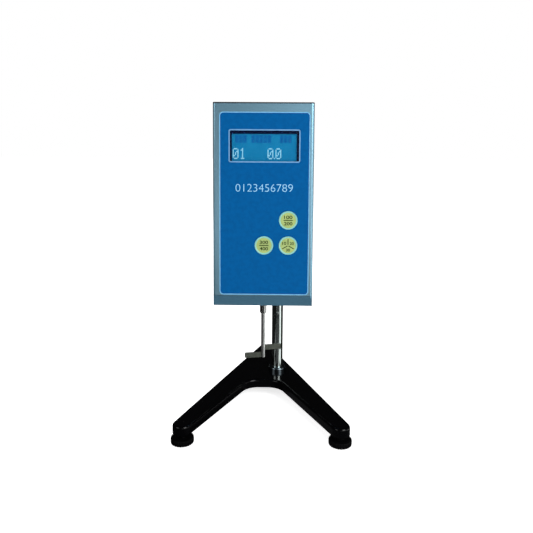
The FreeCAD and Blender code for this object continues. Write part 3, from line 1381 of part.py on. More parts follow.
def rotor_shaft():
    """Ground shaft with a slot at its end for each blade."""
    top = COUPLING_BOTTOM + ROTOR_GRIP
    body = turned([
        (0, ROTOR_BOTTOM), (ROTOR_SHAFT_R - ROTOR_BEVEL, ROTOR_BOTTOM),
        (ROTOR_SHAFT_R, ROTOR_BOTTOM + ROTOR_BEVEL), (ROTOR_SHAFT_R, top), (0, top),
    ])
    return body.cut([blade.copy() for blade in blades(SEAT_FIT)])


def blades(grow):
    """Two flat blades, the left one lower, set into the shaft and turned as the paddle is."""
    low, high = blade_levels()
    root, tip, half = ROTOR_SHAFT_R - BLADE_SINK, PADDLE_SPAN / 2, BLADE_T / 2 + grow
    pair = []
    for x0, x1, z in ((-tip, -root, low), (root, tip, high)):
        blade = box(x0 - grow, x1 + grow, -half, half, z - grow, z + BLADE_H + grow)
        ends = [e for e in edges_along(blade, Y_AXIS) if abs(e.CenterOfMass.x) > tip - PAST]
        blade = blade.makeFillet(BLADE_CORNER_R, ends)
        blade.rotate(V(0, 0, 0), Z_AXIS, PADDLE_TURN)
        pair.append(blade)
    return pair


def paddle():
    return group(blades(0.0))


# Rear fittings

def fitting(z, width, height, border, thick, radius, depth):
    """Flange on the rear cover with the body of a fitting behind it."""
    flange = centred_plate(
        PORT_X, z, width + 2 * border, height + 2 * border, radius + PAST, REAR_Y, REAR_Y + thick
    )
    inside = REAR_Y - depth
    return fused([flange, centred_plate(PORT_X, z, width, height, radius, inside, REAR_Y + thick / 2)])


def power_inlet():
    """Appliance inlet: flange and shrouded socket with two cut corners."""
    body = fitting(
        INLET_Z, INLET_W, INLET_H, INLET_BORDER, INLET_FLANGE_T, INLET_CORNER_R, INLET_DEEP
    )
    w, h, cut = INLET_W / 2 - INLET_WALL, INLET_H / 2 - INLET_WALL, INLET_CUT
    floor = REAR_Y - INLET_DEEP + INLET_FLOOR
    outline = [(-w, -h), (w, -h), (w, h - cut), (w - cut, h), (cut - w, h), (-w, h - cut)]
    return body.cut(prism([(PORT_X + x, floor, INLET_Z + z) for x, z in outline], (0, 2 * INLET_DEEP, 0)))


def inlet_pins():
    """Three flat pins that stand on the floor of the inlet's socket."""
    floor, tip = REAR_Y - INLET_DEEP + INLET_FLOOR, REAR_Y - PIN_SINK
    return group([
        centred_box(PORT_X + x, INLET_Z + z, PIN_W, PIN_H, floor, tip)
        for x, z in ((-PIN_PITCH, -PIN_DROP), (0.0, EARTH_RISE), (PIN_PITCH, -PIN_DROP))
    ])


def switch_body():
    """Snap-in housing of the rocker switch, with its terminals."""
    w, h, back, pivot = ROCKER_W, ROCKER_H, REAR_Y - ROCKER_DEEP, switch_pivot()
    wall, room, reach = 2 * SWITCH_WALL, 2 * LOOSE_FIT, ROCKER_H / 2 + SWITCH_WALL / 2
    body = fitting(
        SWITCH_Z, w + wall, h + wall, SWITCH_BORDER, SWITCH_FLANGE_T, PORT_CORNER_R, ROCKER_DEEP
    )
    pocket = centred_box(PORT_X, SWITCH_Z, w + room, h + room, back + SWITCH_FLOOR, REAR_Y + ROCKER_DEEP)
    axle = rod(PIVOT_R, (PORT_X, pivot, SWITCH_Z - reach), (PORT_X, pivot, SWITCH_Z + reach))
    terminals = [
        centred_box(PORT_X + x, SWITCH_Z, TERMINAL_T, TERMINAL_W, back - TERMINAL_L, back + OVERLAP)
        for x in (-TERMINAL_PITCH, 0.0, TERMINAL_PITCH)
    ]
    return fused([body] + terminals).cut(pocket).fuse(axle).removeSplitter()


def switch_pivot():
    """Depth of the rocker's pivot."""
    return REAR_Y - ROCKER_PIVOT


def switch_rocker():
    """Rocker with a hollow V face, resting on its left side."""
    pivot = switch_pivot()
    half = ROCKER_W / 2 - ROCKER_LEAN
    rise = half * math.tan(math.radians(ROCKER_THROW / 2))
    front, keel, belly = REAR_Y + ROCKER_PROUD, ROCKER_KEEL, pivot + ROCKER_BELLY + rise
    z0, z1 = SWITCH_Z - ROCKER_H / 2, SWITCH_Z + ROCKER_H / 2
    outline = [
        (-half, belly), (-keel, pivot - keel), (keel, pivot - keel), (half, belly),
        (half, front + rise), (0, front - ROCKER_HOLLOW), (-half, front + rise),
    ]
    body = prism([(PORT_X + x, y, z0) for x, y in outline], (0, 0, ROCKER_H))
    body = body.cut(rod(PIVOT_R + RUN_FIT, (PORT_X, pivot, z0 - PAST), (PORT_X, pivot, z1 + PAST)))
    body.rotate(V(PORT_X, pivot, SWITCH_Z), Z_AXIS, -ROCKER_THROW / 2)
    return body


def serial_port():
    """Nine-way socket: flange with two hexagonal posts and a D-shaped nose."""
    front = REAR_Y + SERIAL_FLANGE_T
    flange = centred_plate(PORT_X, SERIAL_Z, SERIAL_W, SERIAL_H, PORT_CORNER_R, REAR_Y, front)
    inside = REAR_Y - SERIAL_BACK_L
    back = centred_plate(
        PORT_X, SERIAL_Z, SERIAL_BACK_W, SERIAL_BACK_H, PORT_CORNER_R, inside, REAR_Y + OVERLAP
    )
    wide, high = SERIAL_NOSE_W / 2, SERIAL_NOSE_H / 2
    narrow = wide - SERIAL_NOSE_TAPER
    outline = [(-wide, high), (-narrow, -high), (narrow, -high), (wide, high)]
    nose = prism([(PORT_X + x, REAR_Y, SERIAL_Z + z) for x, z in outline], (0, SERIAL_NOSE_L, 0))
    nose = nose.makeFillet(SERIAL_NOSE_R, edges_along(nose, Y_AXIS))
    posts = []
    for side in (-1, 1):
        post = hexagon(SERIAL_POST_AF, 0, SERIAL_POST_L - OVERLAP, 0, 0)
        post.rotate(V(0, 0, 0), X_AXIS, -90)
        post.translate(V(PORT_X + side * SERIAL_POST_PITCH / 2, REAR_Y + OVERLAP, SERIAL_Z))
        posts.append(post)
    return fused([flange, back, nose] + posts)


def parts():
    """Every node's name and shape."""
    shapes = {
        "base_casting": base_casting(),
        "column_collar": column_collar(),
        "column_nut": group([column_washer(), column_nut()]),
        "column": column(),
        "column_rack": column_rack(),
        "column_cap": column_cap(),
        "stop_pin": stop_pin(),
        "lift_block": lift_block(),
        "column_bushes": column_bushes(),
        "pinion_bushes": pinion_bushes(),
        "pinion_shaft": pinion_shaft(),
        "lift_knobs": lift_knobs(),
        "clamp_pad": clamp_pad(),
        "clamp_knob": clamp_knob(),
        "head_arm": head_arm(),
        "front_frame": front_frame(),
        "front_panel": front_panel(),
        "display_window": display_window(),
        "display_bezel": display_bezel(),
        "display_glass": display_glass(),
        "display_board": display_board(),
        "key_board": key_board(),
        "rear_cover": rear_cover(),
        "top_cap": top_cap(),
        "bubble_level": bubble_level(),
        "bottom_cover": bottom_cover(),
        "chassis": chassis(),
        "frame_pillars": frame_pillars(),
        "main_board": main_board(),
        "transformer": transformer(),
        "bearing_housing": bearing_housing(),
        "bearing_outer_rings": bearing_outer_rings(),
        "bearing_inner_rings": bearing_inner_rings(),
        "spindle": spindle(),
        "sensing_disc": sensing_disc(),
        "drive_disc": drive_disc(),
        "hairspring": hairspring(),
        "motor_shaft": motor_shaft(),
        "motor_body": motor_body(),
        "motor_bracket": motor_bracket(),
        "disc_sensors": disc_sensors(),
        "coupling": coupling(),
        "rotor_shaft": rotor_shaft(),
        "paddle": paddle(),
        "power_inlet": power_inlet(),
        "inlet_pins": inlet_pins(),
        "switch_body": switch_body(),
        "switch_rocker": switch_rocker(),
        "serial_port": serial_port(),
    }
    for name, (x, z) in KEYS.items():
        shapes[name] = key(x, z)
    for name, (x, y) in FEET.items():
        shapes["foot_pad_" + name] = foot_pad(x, y)
        shapes["foot_screw_" + name] = foot_screw(x, y)
    return shapes


def export(shapes):
    """Write one file for each node, with the origin under the middle of the stand."""
    os.makedirs("parts", exist_ok=True)
    for name, shape in shapes.items():
        shape.translate(V(0, -MIDDLE_Y, 0))
        shape.exportStep(os.path.join("parts", name + ".step"))


export(parts())
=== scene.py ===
import json
import logging
import math
from dataclasses import dataclass, field
from enum import Enum

import bmesh
import bpy
import numpy as np
from mathutils import Matrix, Vector


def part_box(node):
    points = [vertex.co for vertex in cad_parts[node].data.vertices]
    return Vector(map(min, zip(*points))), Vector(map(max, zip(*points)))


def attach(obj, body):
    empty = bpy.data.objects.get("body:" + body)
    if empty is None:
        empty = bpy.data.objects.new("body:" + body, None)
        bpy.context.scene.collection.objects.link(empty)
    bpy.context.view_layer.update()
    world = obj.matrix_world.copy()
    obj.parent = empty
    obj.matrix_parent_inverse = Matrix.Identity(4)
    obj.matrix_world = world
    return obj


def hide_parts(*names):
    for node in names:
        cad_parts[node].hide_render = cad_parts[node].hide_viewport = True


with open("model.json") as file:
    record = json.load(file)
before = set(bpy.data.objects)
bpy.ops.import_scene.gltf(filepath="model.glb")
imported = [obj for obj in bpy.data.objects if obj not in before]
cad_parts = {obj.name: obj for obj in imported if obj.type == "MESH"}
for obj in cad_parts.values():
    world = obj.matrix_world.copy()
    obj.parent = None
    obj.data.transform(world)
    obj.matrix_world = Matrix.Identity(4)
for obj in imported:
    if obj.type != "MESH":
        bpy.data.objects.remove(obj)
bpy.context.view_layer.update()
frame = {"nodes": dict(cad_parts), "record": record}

# Paddle viscometer on a V-shaped stand: finishes for every solid, and the fine pieces that go over them.
# Sizes of new pieces are in millimetres and become metres when a mesh is made.

MM = 0.001
# Thickness of a print, and of its letters before they are fitted to it
PRINT_THICK = 0.05
LETTER_THICK = 0.01
# Distances in metres below which points are merged and edges dissolved
SAME_POINT = 1e-7
THIN_EDGE = 1e-8
# Bends in degrees above which an edge stays sharp
SHARP_TILE = 30.0
SHARP_TURNED = 40.0
SHARP_LINE = 60.0
LOG = logging.getLogger("viscometer")
Array = np.ndarray
Colour = tuple[float, float, float, float]


def tone(red: float, green: float, blue: float) -> Colour:
    """Linear colour of a screen colour.

    Args:
        red, green, blue: screen values from 0 to 255.
    Returns:
        Linear red, green, blue and an opacity of 1.
    """
    screen = np.array([red, green, blue]) / 255.0
    linear = np.where(screen <= 0.04045, screen / 12.92, ((screen + 0.055) / 1.055) ** 2.4)
    return (float(linear[0]), float(linear[1]), float(linear[2]), 1.0)


class Pattern(Enum):
    """Surface effects, each one shader node group."""

    ENAMEL = "stoved enamel"
    LACQUER = "flake lacquer"
    GRAIN = "ground grain"
    MOULDED = "moulded skin"
    PRINT = "printed film"
    BOARD = "board weave"


BROAD_SCALE = 0.05
ENAMEL_SHARE = 0.5
STEPS: dict[Pattern, tuple[float, float]] = {
    Pattern.LACQUER: (0.42, 0.66),
    Pattern.GRAIN: (0.35, 0.75),
    Pattern.MOULDED: (0.35, 0.7),
    Pattern.PRINT: (0.3, 0.75),
}


@dataclass(frozen=True)
class Group:
    """A shader node group that turns a place into colour, roughness and height."""

    pattern: Pattern

    def build(self) -> bpy.types.NodeTree:
        """Make the group once, or find it again.

        Returns:
            The node group, with sockets Place, Colour, Deep, Scale, Roughness, Spread and outputs Colour,
            Roughness, Height.
        """
        found = bpy.data.node_groups.get(self.pattern.value)
        if found:
            return found
        tree = bpy.data.node_groups.new(self.pattern.value, "ShaderNodeTree")
        sockets = (("Place", "Vector"), ("Colour", "Color"), ("Deep", "Color"), ("Scale", "Float"),
                   ("Roughness", "Float"), ("Spread", "Float"))
        for name, kind in sockets:
            tree.interface.new_socket(name=name, in_out="INPUT", socket_type="NodeSocket" + kind)
        for name, kind in (("Colour", "Color"), ("Roughness", "Float"), ("Height", "Float")):
            tree.interface.new_socket(name=name, in_out="OUTPUT", socket_type="NodeSocket" + kind)
        wire = Wire(tree)
        inside, outside = wire.add("NodeGroupInput"), wire.add("NodeGroupOutput")
        fine, share, height = self.effect(wire, inside)
        wire.join(wire.mix(share, inside.outputs["Colour"], inside.outputs["Deep"]), outside.inputs["Colour"])
        swing = wire.sum("MULTIPLY", wire.sum("SUBTRACT", fine, 0.5), inside.outputs["Spread"])
        wire.join(wire.sum("ADD", swing, inside.outputs["Roughness"]), outside.inputs["Roughness"])
        wire.join(height, outside.inputs["Height"])
        return tree

    def effect(self, wire: "Wire", inside: bpy.types.Node) -> tuple:
        """Noise of the pattern.

        Args:
            wire: the tree being wired.
            inside: the group's input node.
        Returns:
            Sockets for the roughness pattern, the share of the deep colour, and the height.
        """
        place, scale = inside.outputs["Place"], inside.outputs["Scale"]
        broad = wire.noise(place, wire.sum("MULTIPLY", scale, BROAD_SCALE), 2.0)
        if self.pattern is Pattern.ENAMEL:
            fine = wire.noise(place, scale, 1.0)
            return broad, wire.sum("MULTIPLY", broad, ENAMEL_SHARE), wire.sum("ADD", fine, broad)
        if self.pattern is Pattern.LACQUER:
            flake = wire.noise(place, scale, 0.0)
            return broad, wire.ramp(flake, *STEPS[self.pattern]), flake
        if self.pattern is Pattern.GRAIN:
            line = wire.noise(place, scale, 3.0)
            return line, wire.ramp(line, *STEPS[self.pattern]), line
        if self.pattern is Pattern.MOULDED:
            pit = wire.cells(place, scale)
            return wire.noise(place, scale, 1.0), wire.ramp(broad, *STEPS[self.pattern]), pit
        if self.pattern is Pattern.PRINT:
            dot = wire.noise(place, scale, 1.0)
            return dot, wire.ramp(broad, *STEPS[self.pattern]), dot
        weave = wire.waves(place, scale)
        return weave, weave, weave


@dataclass(frozen=True)
class Wire:
    """Short calls that add and join shader nodes in one tree."""

    tree: bpy.types.NodeTree

    def add(self, kind: str, **settings: object) -> bpy.types.Node:
        """Add a node.

        Args:
            kind: the node's type.
            settings: properties to set on it.
        Returns:
            The node.
        """
        node = self.tree.nodes.new(kind)
        for key, value in settings.items():
            setattr(node, key, value)
        return node

    def join(self, source: object, target: bpy.types.NodeSocket) -> None:
        """Link a socket, or set a plain value, on a target socket.

        Args:
            source: an output socket or a value.
            target: the input socket.
        """
        if isinstance(source, bpy.types.NodeSocket):
            self.tree.links.new(source, target)
        else:
            target.default_value = source

    def sum(self, operation: str, first: object, second: object) -> bpy.types.NodeSocket:
        """Arithmetic of two values.

        Args:
            operation: the operation's name.
            first, second: sockets or values.
        Returns:
            The result's socket.
        """
        node = self.add("ShaderNodeMath", operation=operation)
        self.join(first, node.inputs[0])
        self.join(second, node.inputs[1])
        return node.outputs[0]

    def mix(self, share: object, first: object, second: object) -> bpy.types.NodeSocket:
        """Blend of two colours.

        Args:
            share: how much of the second colour, from 0 to 1.
            first, second: the colours.
        Returns:
            The blend's socket.
        """
        node = self.add("ShaderNodeMix", data_type="RGBA")
        colours = [s for s in node.inputs if s.type == "RGBA"]
        self.join(share, node.inputs[0])
        self.join(first, colours[0])
        self.join(second, colours[1])
        return next(s for s in node.outputs if s.type == "RGBA")

    def textured(self, kind: str, place: object, scale: object, **settings: object) -> bpy.types.Node:
        """Texture node with its place and scale joined.

        Args:
            kind: the node's type.
            place: the socket of its coordinates.
            scale: a socket or value for its scale.
            settings: properties to set on it.
        Returns:
            The node.
        """
        node = self.add(kind, **settings)
        self.join(place, node.inputs["Vector"])
        self.join(scale, node.inputs["Scale"])
        return node

    def noise(self, place: object, scale: object, detail: float) -> bpy.types.NodeSocket:
        """Cloudy noise.

        Args:
            place, scale: as in textured.
            detail: how many finer layers it has.
        Returns:
            Its value's socket, from 0 to 1.
        """
        node = self.textured("ShaderNodeTexNoise", place, scale)
        node.inputs["Detail"].default_value = detail
        return node.outputs[0]

    def cells(self, place: object, scale: object) -> bpy.types.NodeSocket:
        """Scattered points.

        Args:
            place, scale: as in textured.
        Returns:
            The socket of the distance to the nearest point.
        """
        return self.textured("ShaderNodeTexVoronoi", place, scale).outputs["Distance"]

    def waves(self, place: object, scale: object) -> bpy.types.NodeSocket:
        """Soft bands across the diagonal.

        Args:
            place, scale: as in textured.
        Returns:
            The bands' socket, from 0 to 1.
        """
        return self.textured("ShaderNodeTexWave", place, scale, bands_direction="DIAGONAL").outputs["Fac"]

    def ramp(self, value: object, low: float, high: float) -> bpy.types.NodeSocket:
        """Smooth step.

        Args:
            value: the socket that is stepped.
            low, high: levels where the step begins and ends.
        Returns:
            The step's socket, from 0 to 1.
        """
        node = self.add("ShaderNodeMapRange", interpolation_type="SMOOTHSTEP")
        self.join(value, node.inputs["Value"])
        node.inputs["From Min"].default_value = low
        node.inputs["From Max"].default_value = high
        return node.outputs["Result"]

    def seen(self) -> bpy.types.NodeSocket:
        """Mask of camera, mirror and glass rays.

        Returns:
            A socket that is 1 for those rays and 0 for the rest.
        """
        rays = self.add("ShaderNodeLightPath").outputs
        mirrored = self.sum("MAXIMUM", rays["Is Camera Ray"], rays["Is Glossy Ray"])
        return self.sum("MAXIMUM", mirrored, rays["Is Transmission Ray"])


@dataclass(frozen=True)
class Finish:
    """A finish: its colours, gloss, and the effect that breaks it up."""

    name: str
    pattern: Pattern
    colour: Colour
    deep: Colour
    roughness: float
    spread: float = 0.06
    scale: float = 1500.0
    stretch: tuple[float, float, float] = (1.0, 1.0, 1.0)
    metallic: float = 0.0
    specular: float = 0.5
    coat: float = 0.0
    coat_roughness: float = 0.06
    bump: float = 0.0
    alpha: float = 1.0
    glow: float = 0.0

    def build(self) -> bpy.types.Material:
        """Make the material once, or find it again.

        Returns:
            The material: Object coordinates, mapped, through the effect's group into one Principled shader.
        """
        found = bpy.data.materials.get(self.name)
        if found:
            return found
        material = bpy.data.materials.new(self.name)
        material.use_nodes = True
        wire = Wire(material.node_tree)
        sockets = material.node_tree.nodes["Principled BSDF"].inputs
        place = wire.add("ShaderNodeTexCoord").outputs["Object"]
        mapping = wire.add("ShaderNodeMapping")
        mapping.inputs["Scale"].default_value = self.stretch
        wire.join(place, mapping.inputs["Vector"])
        effect = wire.add("ShaderNodeGroup", node_tree=Group(self.pattern).build())
        wire.join(mapping.outputs["Vector"], effect.inputs["Place"])
        for name, value in (("Colour", self.colour), ("Deep", self.deep), ("Scale", self.scale),
                            ("Roughness", self.roughness), ("Spread", self.spread)):
            effect.inputs[name].default_value = value
        wire.join(self.tint(wire, place, effect.outputs["Colour"]), sockets["Base Color"])
        wire.join(effect.outputs["Roughness"], sockets["Roughness"])
        for name, value in (("Metallic", self.metallic), ("Specular IOR Level", self.specular),
                            ("Coat Weight", self.coat), ("Coat Roughness", self.coat_roughness),
                            ("Alpha", self.alpha)):
            sockets[name].default_value = value
        if self.glow:
            wire.join(effect.outputs["Colour"], sockets["Emission Color"])
            sockets["Emission Strength"].default_value = self.glow
        if self.bump:
            bump = wire.add("ShaderNodeBump")
            bump.inputs["Strength"].default_value = 1.0
            bump.inputs["Distance"].default_value = self.bump * MM
            wire.join(effect.outputs["Height"], bump.inputs["Height"])
            wire.join(bump.outputs["Normal"], sockets["Normal"])
        return material

    def tint(self, wire: Wire, place: object, colour: object) -> object:
        """Colour that reaches the shader; a finish with a drawn pattern adds it here.

        Args:
            wire: the material's tree.
            place: the socket of the object's coordinates.
            colour: the socket of the effect's colour.
        Returns:
            The socket that is joined to the base colour.
        """
        return colour


@dataclass(frozen=True)
class KeyFinish(Finish):
    """Yellow-green key with a pale ring printed round its edge; lengths in millimetres but for the centre."""

    centre: tuple[float, float, float] = (0.0, 0.0, 0.0)
    ring: Colour = (1.0, 1.0, 1.0, 1.0)
    ring_radius: float = 10.7
    ring_blur: float = 0.15

    def tint(self, wire: Wire, place: object, colour: object) -> object:
        """Ring colour beyond a radius about the key's own axis, seen from the front.

        Args:
            wire, place, colour: as in Finish.
        Returns:
            The socket of the colour with its ring.
        """
        offset = wire.add("ShaderNodeMapping")
        offset.inputs["Location"].default_value = tuple(-c for c in self.centre)
        wire.join(place, offset.inputs["Vector"])
        flat = wire.add("ShaderNodeVectorMath", operation="MULTIPLY")
        flat.inputs[1].default_value = (1.0, 0.0, 1.0)
        wire.join(offset.outputs["Vector"], flat.inputs[0])
        reach = wire.add("ShaderNodeVectorMath", operation="LENGTH")
        wire.join(flat.outputs[0], reach.inputs[0])
        start, end = ((self.ring_radius + side * self.ring_blur) * MM for side in (-1, 1))
        return wire.mix(wire.ramp(reach.outputs["Value"], start, end), colour, self.ring)


STEEL_SPREAD = 0.10
STEEL_BUMP = 0.004


def steel(name: str, light: Colour, dark: Colour, roughness: float, stretch: tuple[float, float, float],
          scale: float = 900.0) -> Finish:
    """Ground or drawn metal whose grain runs across its stretch.

    Args:
        name: the material's name.
        light, dark: its two colours.
        roughness: its mean roughness.
        stretch: how dense the grain is along X, Y and Z.
        scale: how fine the grain is.
    Returns:
        The finish.
    """
    return Finish(name, Pattern.GRAIN, light, dark, roughness, STEEL_SPREAD, scale, stretch, metallic=1.0,
                  bump=STEEL_BUMP)


EVEN = (1.0, 1.0, 1.0)
RINGED = (0.05, 0.05, 3.0)
ACROSS = (3.0, 0.1, 0.1)
MILLED = (0.3, 0.3, 3.0)
RULED = (0.2, 3.0, 0.2)
KEY_RING = tone(122, 186, 180)

FINISHES: dict[str, Finish] = {
    "black_enamel": Finish("gloss_black_enamel", Pattern.ENAMEL, tone(3, 3, 4), tone(1, 1, 1), 0.13, 0.04,
                           260.0, specular=0.18, bump=0.006),
    "column_steel": steel("ground_column_steel", tone(196, 206, 203), tone(168, 178, 174), 0.15, RINGED),
    "bright_steel": steel("machined_steel", tone(192, 194, 193), tone(150, 152, 152), 0.26, MILLED),
    "screw_steel": steel("plated_screw_steel", tone(176, 178, 178), tone(140, 142, 143), 0.30, MILLED),
    "black_plastic": Finish("moulded_black_plastic", Pattern.MOULDED, tone(16, 16, 17), tone(9, 9, 10),
                            0.36, 0.12, 1800.0, bump=0.02),
    "rubber": Finish("moulded_rubber", Pattern.MOULDED, tone(20, 20, 20), tone(30, 29, 28), 0.72, 0.15,
                     2600.0, specular=0.3, bump=0.03),
    "bronze": steel("sintered_bronze", tone(176, 142, 88), tone(136, 104, 60), 0.34, EVEN, 2600.0),
    "satin_aluminium": steel("cast_aluminium", tone(186, 189, 192), tone(158, 161, 165), 0.38, EVEN,
                             1400.0),
    "silver_paint": Finish("silver_blue_lacquer", Pattern.LACQUER, tone(130, 172, 192),
                           tone(118, 160, 181), 0.31, 0.03, 5200.0, metallic=0.78),
    "grey_paint": Finish("slate_blue_lacquer", Pattern.LACQUER, tone(102, 152, 180), tone(91, 139, 165),
                         0.31, 0.03, 5200.0, metallic=0.72),
    "lid_paint": Finish("dark_lid_lacquer", Pattern.LACQUER, tone(30, 44, 54), tone(22, 34, 43), 0.32,
                        0.08, 5200.0, metallic=0.2, coat=0.15, bump=0.0012),
    "panel_blue": Finish("blue_printed_film", Pattern.PRINT, tone(0, 80, 138), tone(0, 75, 131), 0.5, 0.05,
                         3200.0, specular=0.04, bump=0.003),
    "window": Finish("clear_window", Pattern.PRINT, tone(20, 40, 90), tone(16, 34, 80), 0.06, 0.01, 800.0,
                     specular=0.12, alpha=0.08),
    "display_cell": Finish("blue_display_cell", Pattern.PRINT, tone(20, 122, 168), tone(13, 113, 160), 0.5,
                           0.05, 900.0, specular=0.05, glow=0.12),
    "key_plastic": Finish("key_green", Pattern.MOULDED, tone(153, 173, 104), tone(143, 163, 94), 0.42,
                          0.08, 2400.0, bump=0.008),
    "circuit_board": Finish("board_green", Pattern.BOARD, tone(20, 92, 58), tone(12, 66, 42), 0.42, 0.10,
                            500.0, bump=0.02),
    "level_vial": steel("level_cup_brass", tone(188, 160, 96), tone(156, 128, 72), 0.28, MILLED),
    "bezel_black": Finish("blackened_bezel", Pattern.LACQUER, tone(2, 14, 44), tone(2, 10, 34), 0.6, 0.08,
                          4000.0, specular=0.05, bump=0.004),
    "paddle_steel": steel("paddle_sheet", tone(158, 164, 152), tone(128, 134, 124), 0.36, ACROSS, 700.0),
    "motor_dark": Finish("motor_black", Pattern.MOULDED, tone(26, 26, 28), tone(18, 18, 20), 0.45, 0.10,
                         1500.0, bump=0.02),
    "core_steel": Finish("varnished_core", Pattern.GRAIN, tone(120, 96, 62), tone(78, 62, 42), 0.45, 0.12,
                         700.0, RULED, bump=0.03),
    "spring_bronze": steel("spring_bronze_strip", tone(190, 150, 84), tone(150, 116, 62), 0.24, EVEN),
}

NODE_FINISHES: dict[str, Finish] = {
    "rotor_shaft": steel("satin_rotor_steel", tone(206, 208, 206), tone(172, 174, 172), 0.34, RINGED),
    "coupling": steel("turned_coupling_steel", tone(196, 198, 196), tone(160, 162, 160), 0.20, RINGED),
    "column_collar": steel("turned_collar_steel", tone(122, 134, 140), tone(96, 108, 114), 0.2, RINGED),
    "serial_port": steel("tinned_shell", tone(190, 192, 194), tone(160, 162, 166), 0.30, MILLED),
    "inlet_pins": steel("nickel_pins", tone(206, 202, 190), tone(176, 172, 160), 0.24, MILLED),
}

PRINT_BORDER = Finish("pale_blue_print", Pattern.PRINT, tone(112, 176, 214), tone(98, 162, 204), 0.4, 0.05,
                      3000.0, specular=0.2)
# Painted shade: a deeper blue line inside the film's pale edge line, where the sunken edge would shade the
# film.
PAINTED_EDGE_SHADE = Finish("painted_edge_shade_blue", Pattern.PRINT, tone(0, 66, 130), tone(0, 60, 122), 0.4, 0.05,
                     3000.0, specular=0.2)
PRINT_NUMERAL = Finish("numeral_print", Pattern.PRINT, tone(150, 202, 230), tone(128, 184, 218), 0.4, 0.05,
                       3000.0, specular=0.2)
WINDOW_EDGE = Finish("window_border_print", Pattern.PRINT, tone(104, 150, 194), tone(92, 138, 184), 0.4,
                     0.05, 3000.0, specular=0.2)
KEY_MARK = Finish("olive_key_print", Pattern.PRINT, tone(38, 50, 14), tone(30, 40, 10), 0.5, 0.05, 3000.0,
                  specular=0.2)
LIT_DOT = Finish("lit_display_dot", Pattern.PRINT, tone(150, 216, 236), tone(136, 206, 230), 0.5, 0.05,
                 2500.0, specular=0.05, glow=0.12)
DIM_CELL = Finish("dim_display_cell", Pattern.PRINT, tone(12, 98, 158), tone(9, 90, 150), 0.5, 0.05,
                  2500.0, specular=0.05, glow=0.06)
SEAM = Finish("seam_shadow", Pattern.MOULDED, tone(28, 38, 46), tone(20, 28, 34), 0.7, 0.1, 3000.0,
              specular=0.1)
# Dark finish of the level's printed ring, and painted shade of the serial port's socket holes.
DARK_MARK_AND_HOLE_SHADE = Finish("dark_mark_and_hole_shade", Pattern.MOULDED, tone(10, 10, 10), tone(6, 6, 6), 0.7, 0.1, 3000.0)
KNOB_BLACK = Finish("knob_black_plastic", Pattern.MOULDED, tone(20, 20, 21), tone(13, 13, 14), 0.34, 0.14,
                    1600.0, bump=0.03)
FOOT_BLACK = Finish("foot_black_plastic", Pattern.MOULDED, tone(5, 5, 6), tone(3, 3, 3), 0.42, 0.12,
                    1800.0, specular=0.12, bump=0.02)
# The level's fluid glows a little though nothing lights it from within: painted light.
LEVEL_FLUID_PAINTED_GLOW = Finish("level_fluid", Pattern.PRINT, tone(176, 206, 60), tone(160, 192, 48), 0.12, 0.02,
                     500.0, coat=0.6, glow=0.1)
LEVEL_BUBBLE = Finish("level_bubble", Pattern.PRINT, tone(222, 236, 150), tone(210, 226, 130), 0.1, 0.02,
                      500.0, coat=0.6)
SWITCH_MARK = Finish("white_switch_print", Pattern.PRINT, tone(226, 226, 222), tone(210, 210, 206), 0.5,
                     0.05, 3000.0)


@dataclass
class Shell:
    """Points and quads of one closed surface, in millimetres."""

    points: Array
    quads: Array

    def moved(self, x: float, y: float, z: float) -> "Shell":
        """The shell shifted.

        Args:
            x, y, z: the shift.
        Returns:
            A new shell.
        """
        return Shell(self.points + np.array([x, y, z]), self.quads)

    def turned(self, matrix: Array) -> "Shell":
        """The shell with each point multiplied by a matrix.

        Args:
            matrix: 3 by 3.
        Returns:
            A new shell.
        """
        return Shell(self.points @ matrix.T, self.quads)


TO_X = np.array([[0.0, 0.0, 1.0], [1.0, 0.0, 0.0], [0.0, 1.0, 0.0]])
TO_FRONT = np.array([[1.0, 0.0, 0.0], [0.0, 0.0, -1.0], [0.0, 1.0, 0.0]])
TO_REAR = np.array([[-1.0, 0.0, 0.0], [0.0, 0.0, 1.0], [0.0, 1.0, 0.0]])
TO_BELOW = np.array([[1.0, 0.0, 0.0], [0.0, -1.0, 0.0], [0.0, 0.0, -1.0]])
MIRROR_X = np.diag([-1.0, 1.0, 1.0])


def turn_z(angle: float) -> Array:
    """Matrix that turns about the Z axis.

    Args:
        angle: in radians.
    Returns:
        The 3 by 3 matrix.
    """
    c, s = math.cos(angle), math.sin(angle)
    return np.array([[c, -s, 0.0], [s, c, 0.0], [0.0, 0.0, 1.0]])


def round_angles(steps: int) -> Array:
    """Angles round a circle.

    Args:
        steps: how many.
    Returns:
        The angles in radians, from zero, without the last that would close the circle.
    """
    return np.linspace(0.0, 2 * np.pi, steps, endpoint=False)


def grid_quads(rows: int, columns: int, round_rows: bool, round_columns: bool) -> Array:
    """Quads of a grid whose point (i, j) has the number i times columns plus j.

    Args:
        rows, columns: how many points each way.
        round_rows, round_columns: whether the last joins the first.
    Returns:
        Corner numbers, four to a row.
    """
    i = np.arange(rows if round_rows else rows - 1)
    j = np.arange(columns if round_columns else columns - 1)
    i, j = (a.ravel() for a in np.meshgrid(i, j, indexing="ij"))
    after_i, after_j = (i + 1) % rows, (j + 1) % columns
    corners_of = (i * columns + j, after_i * columns + j, after_i * columns + after_j, i * columns + after_j)
    return np.stack(corners_of, -1)


def lathe(radius: Array, height: Array, steps: int, flute: Array | None = None) -> Shell:
    """Surface round the Z axis: a point at radius r, height h and angle t is (r cos t, r sin t, h).

    Args:
        radius, height: the profile, from one end on the axis to the other.
        steps: points round the axis.
        flute: how far each radius is drawn in at each angle, as profile points by steps.
    Returns:
        The closed shell.
    """
    angle = round_angles(steps)
    reach = np.asarray(radius, float)[:, None] - (0.0 if flute is None else flute) + 0.0 * angle
    level = np.asarray(height, float)[:, None] + 0.0 * angle
    points = np.stack([reach * np.cos(angle), reach * np.sin(angle), level], -1).reshape(-1, 3)
    return Shell(points, grid_quads(len(radius), steps, False, True))


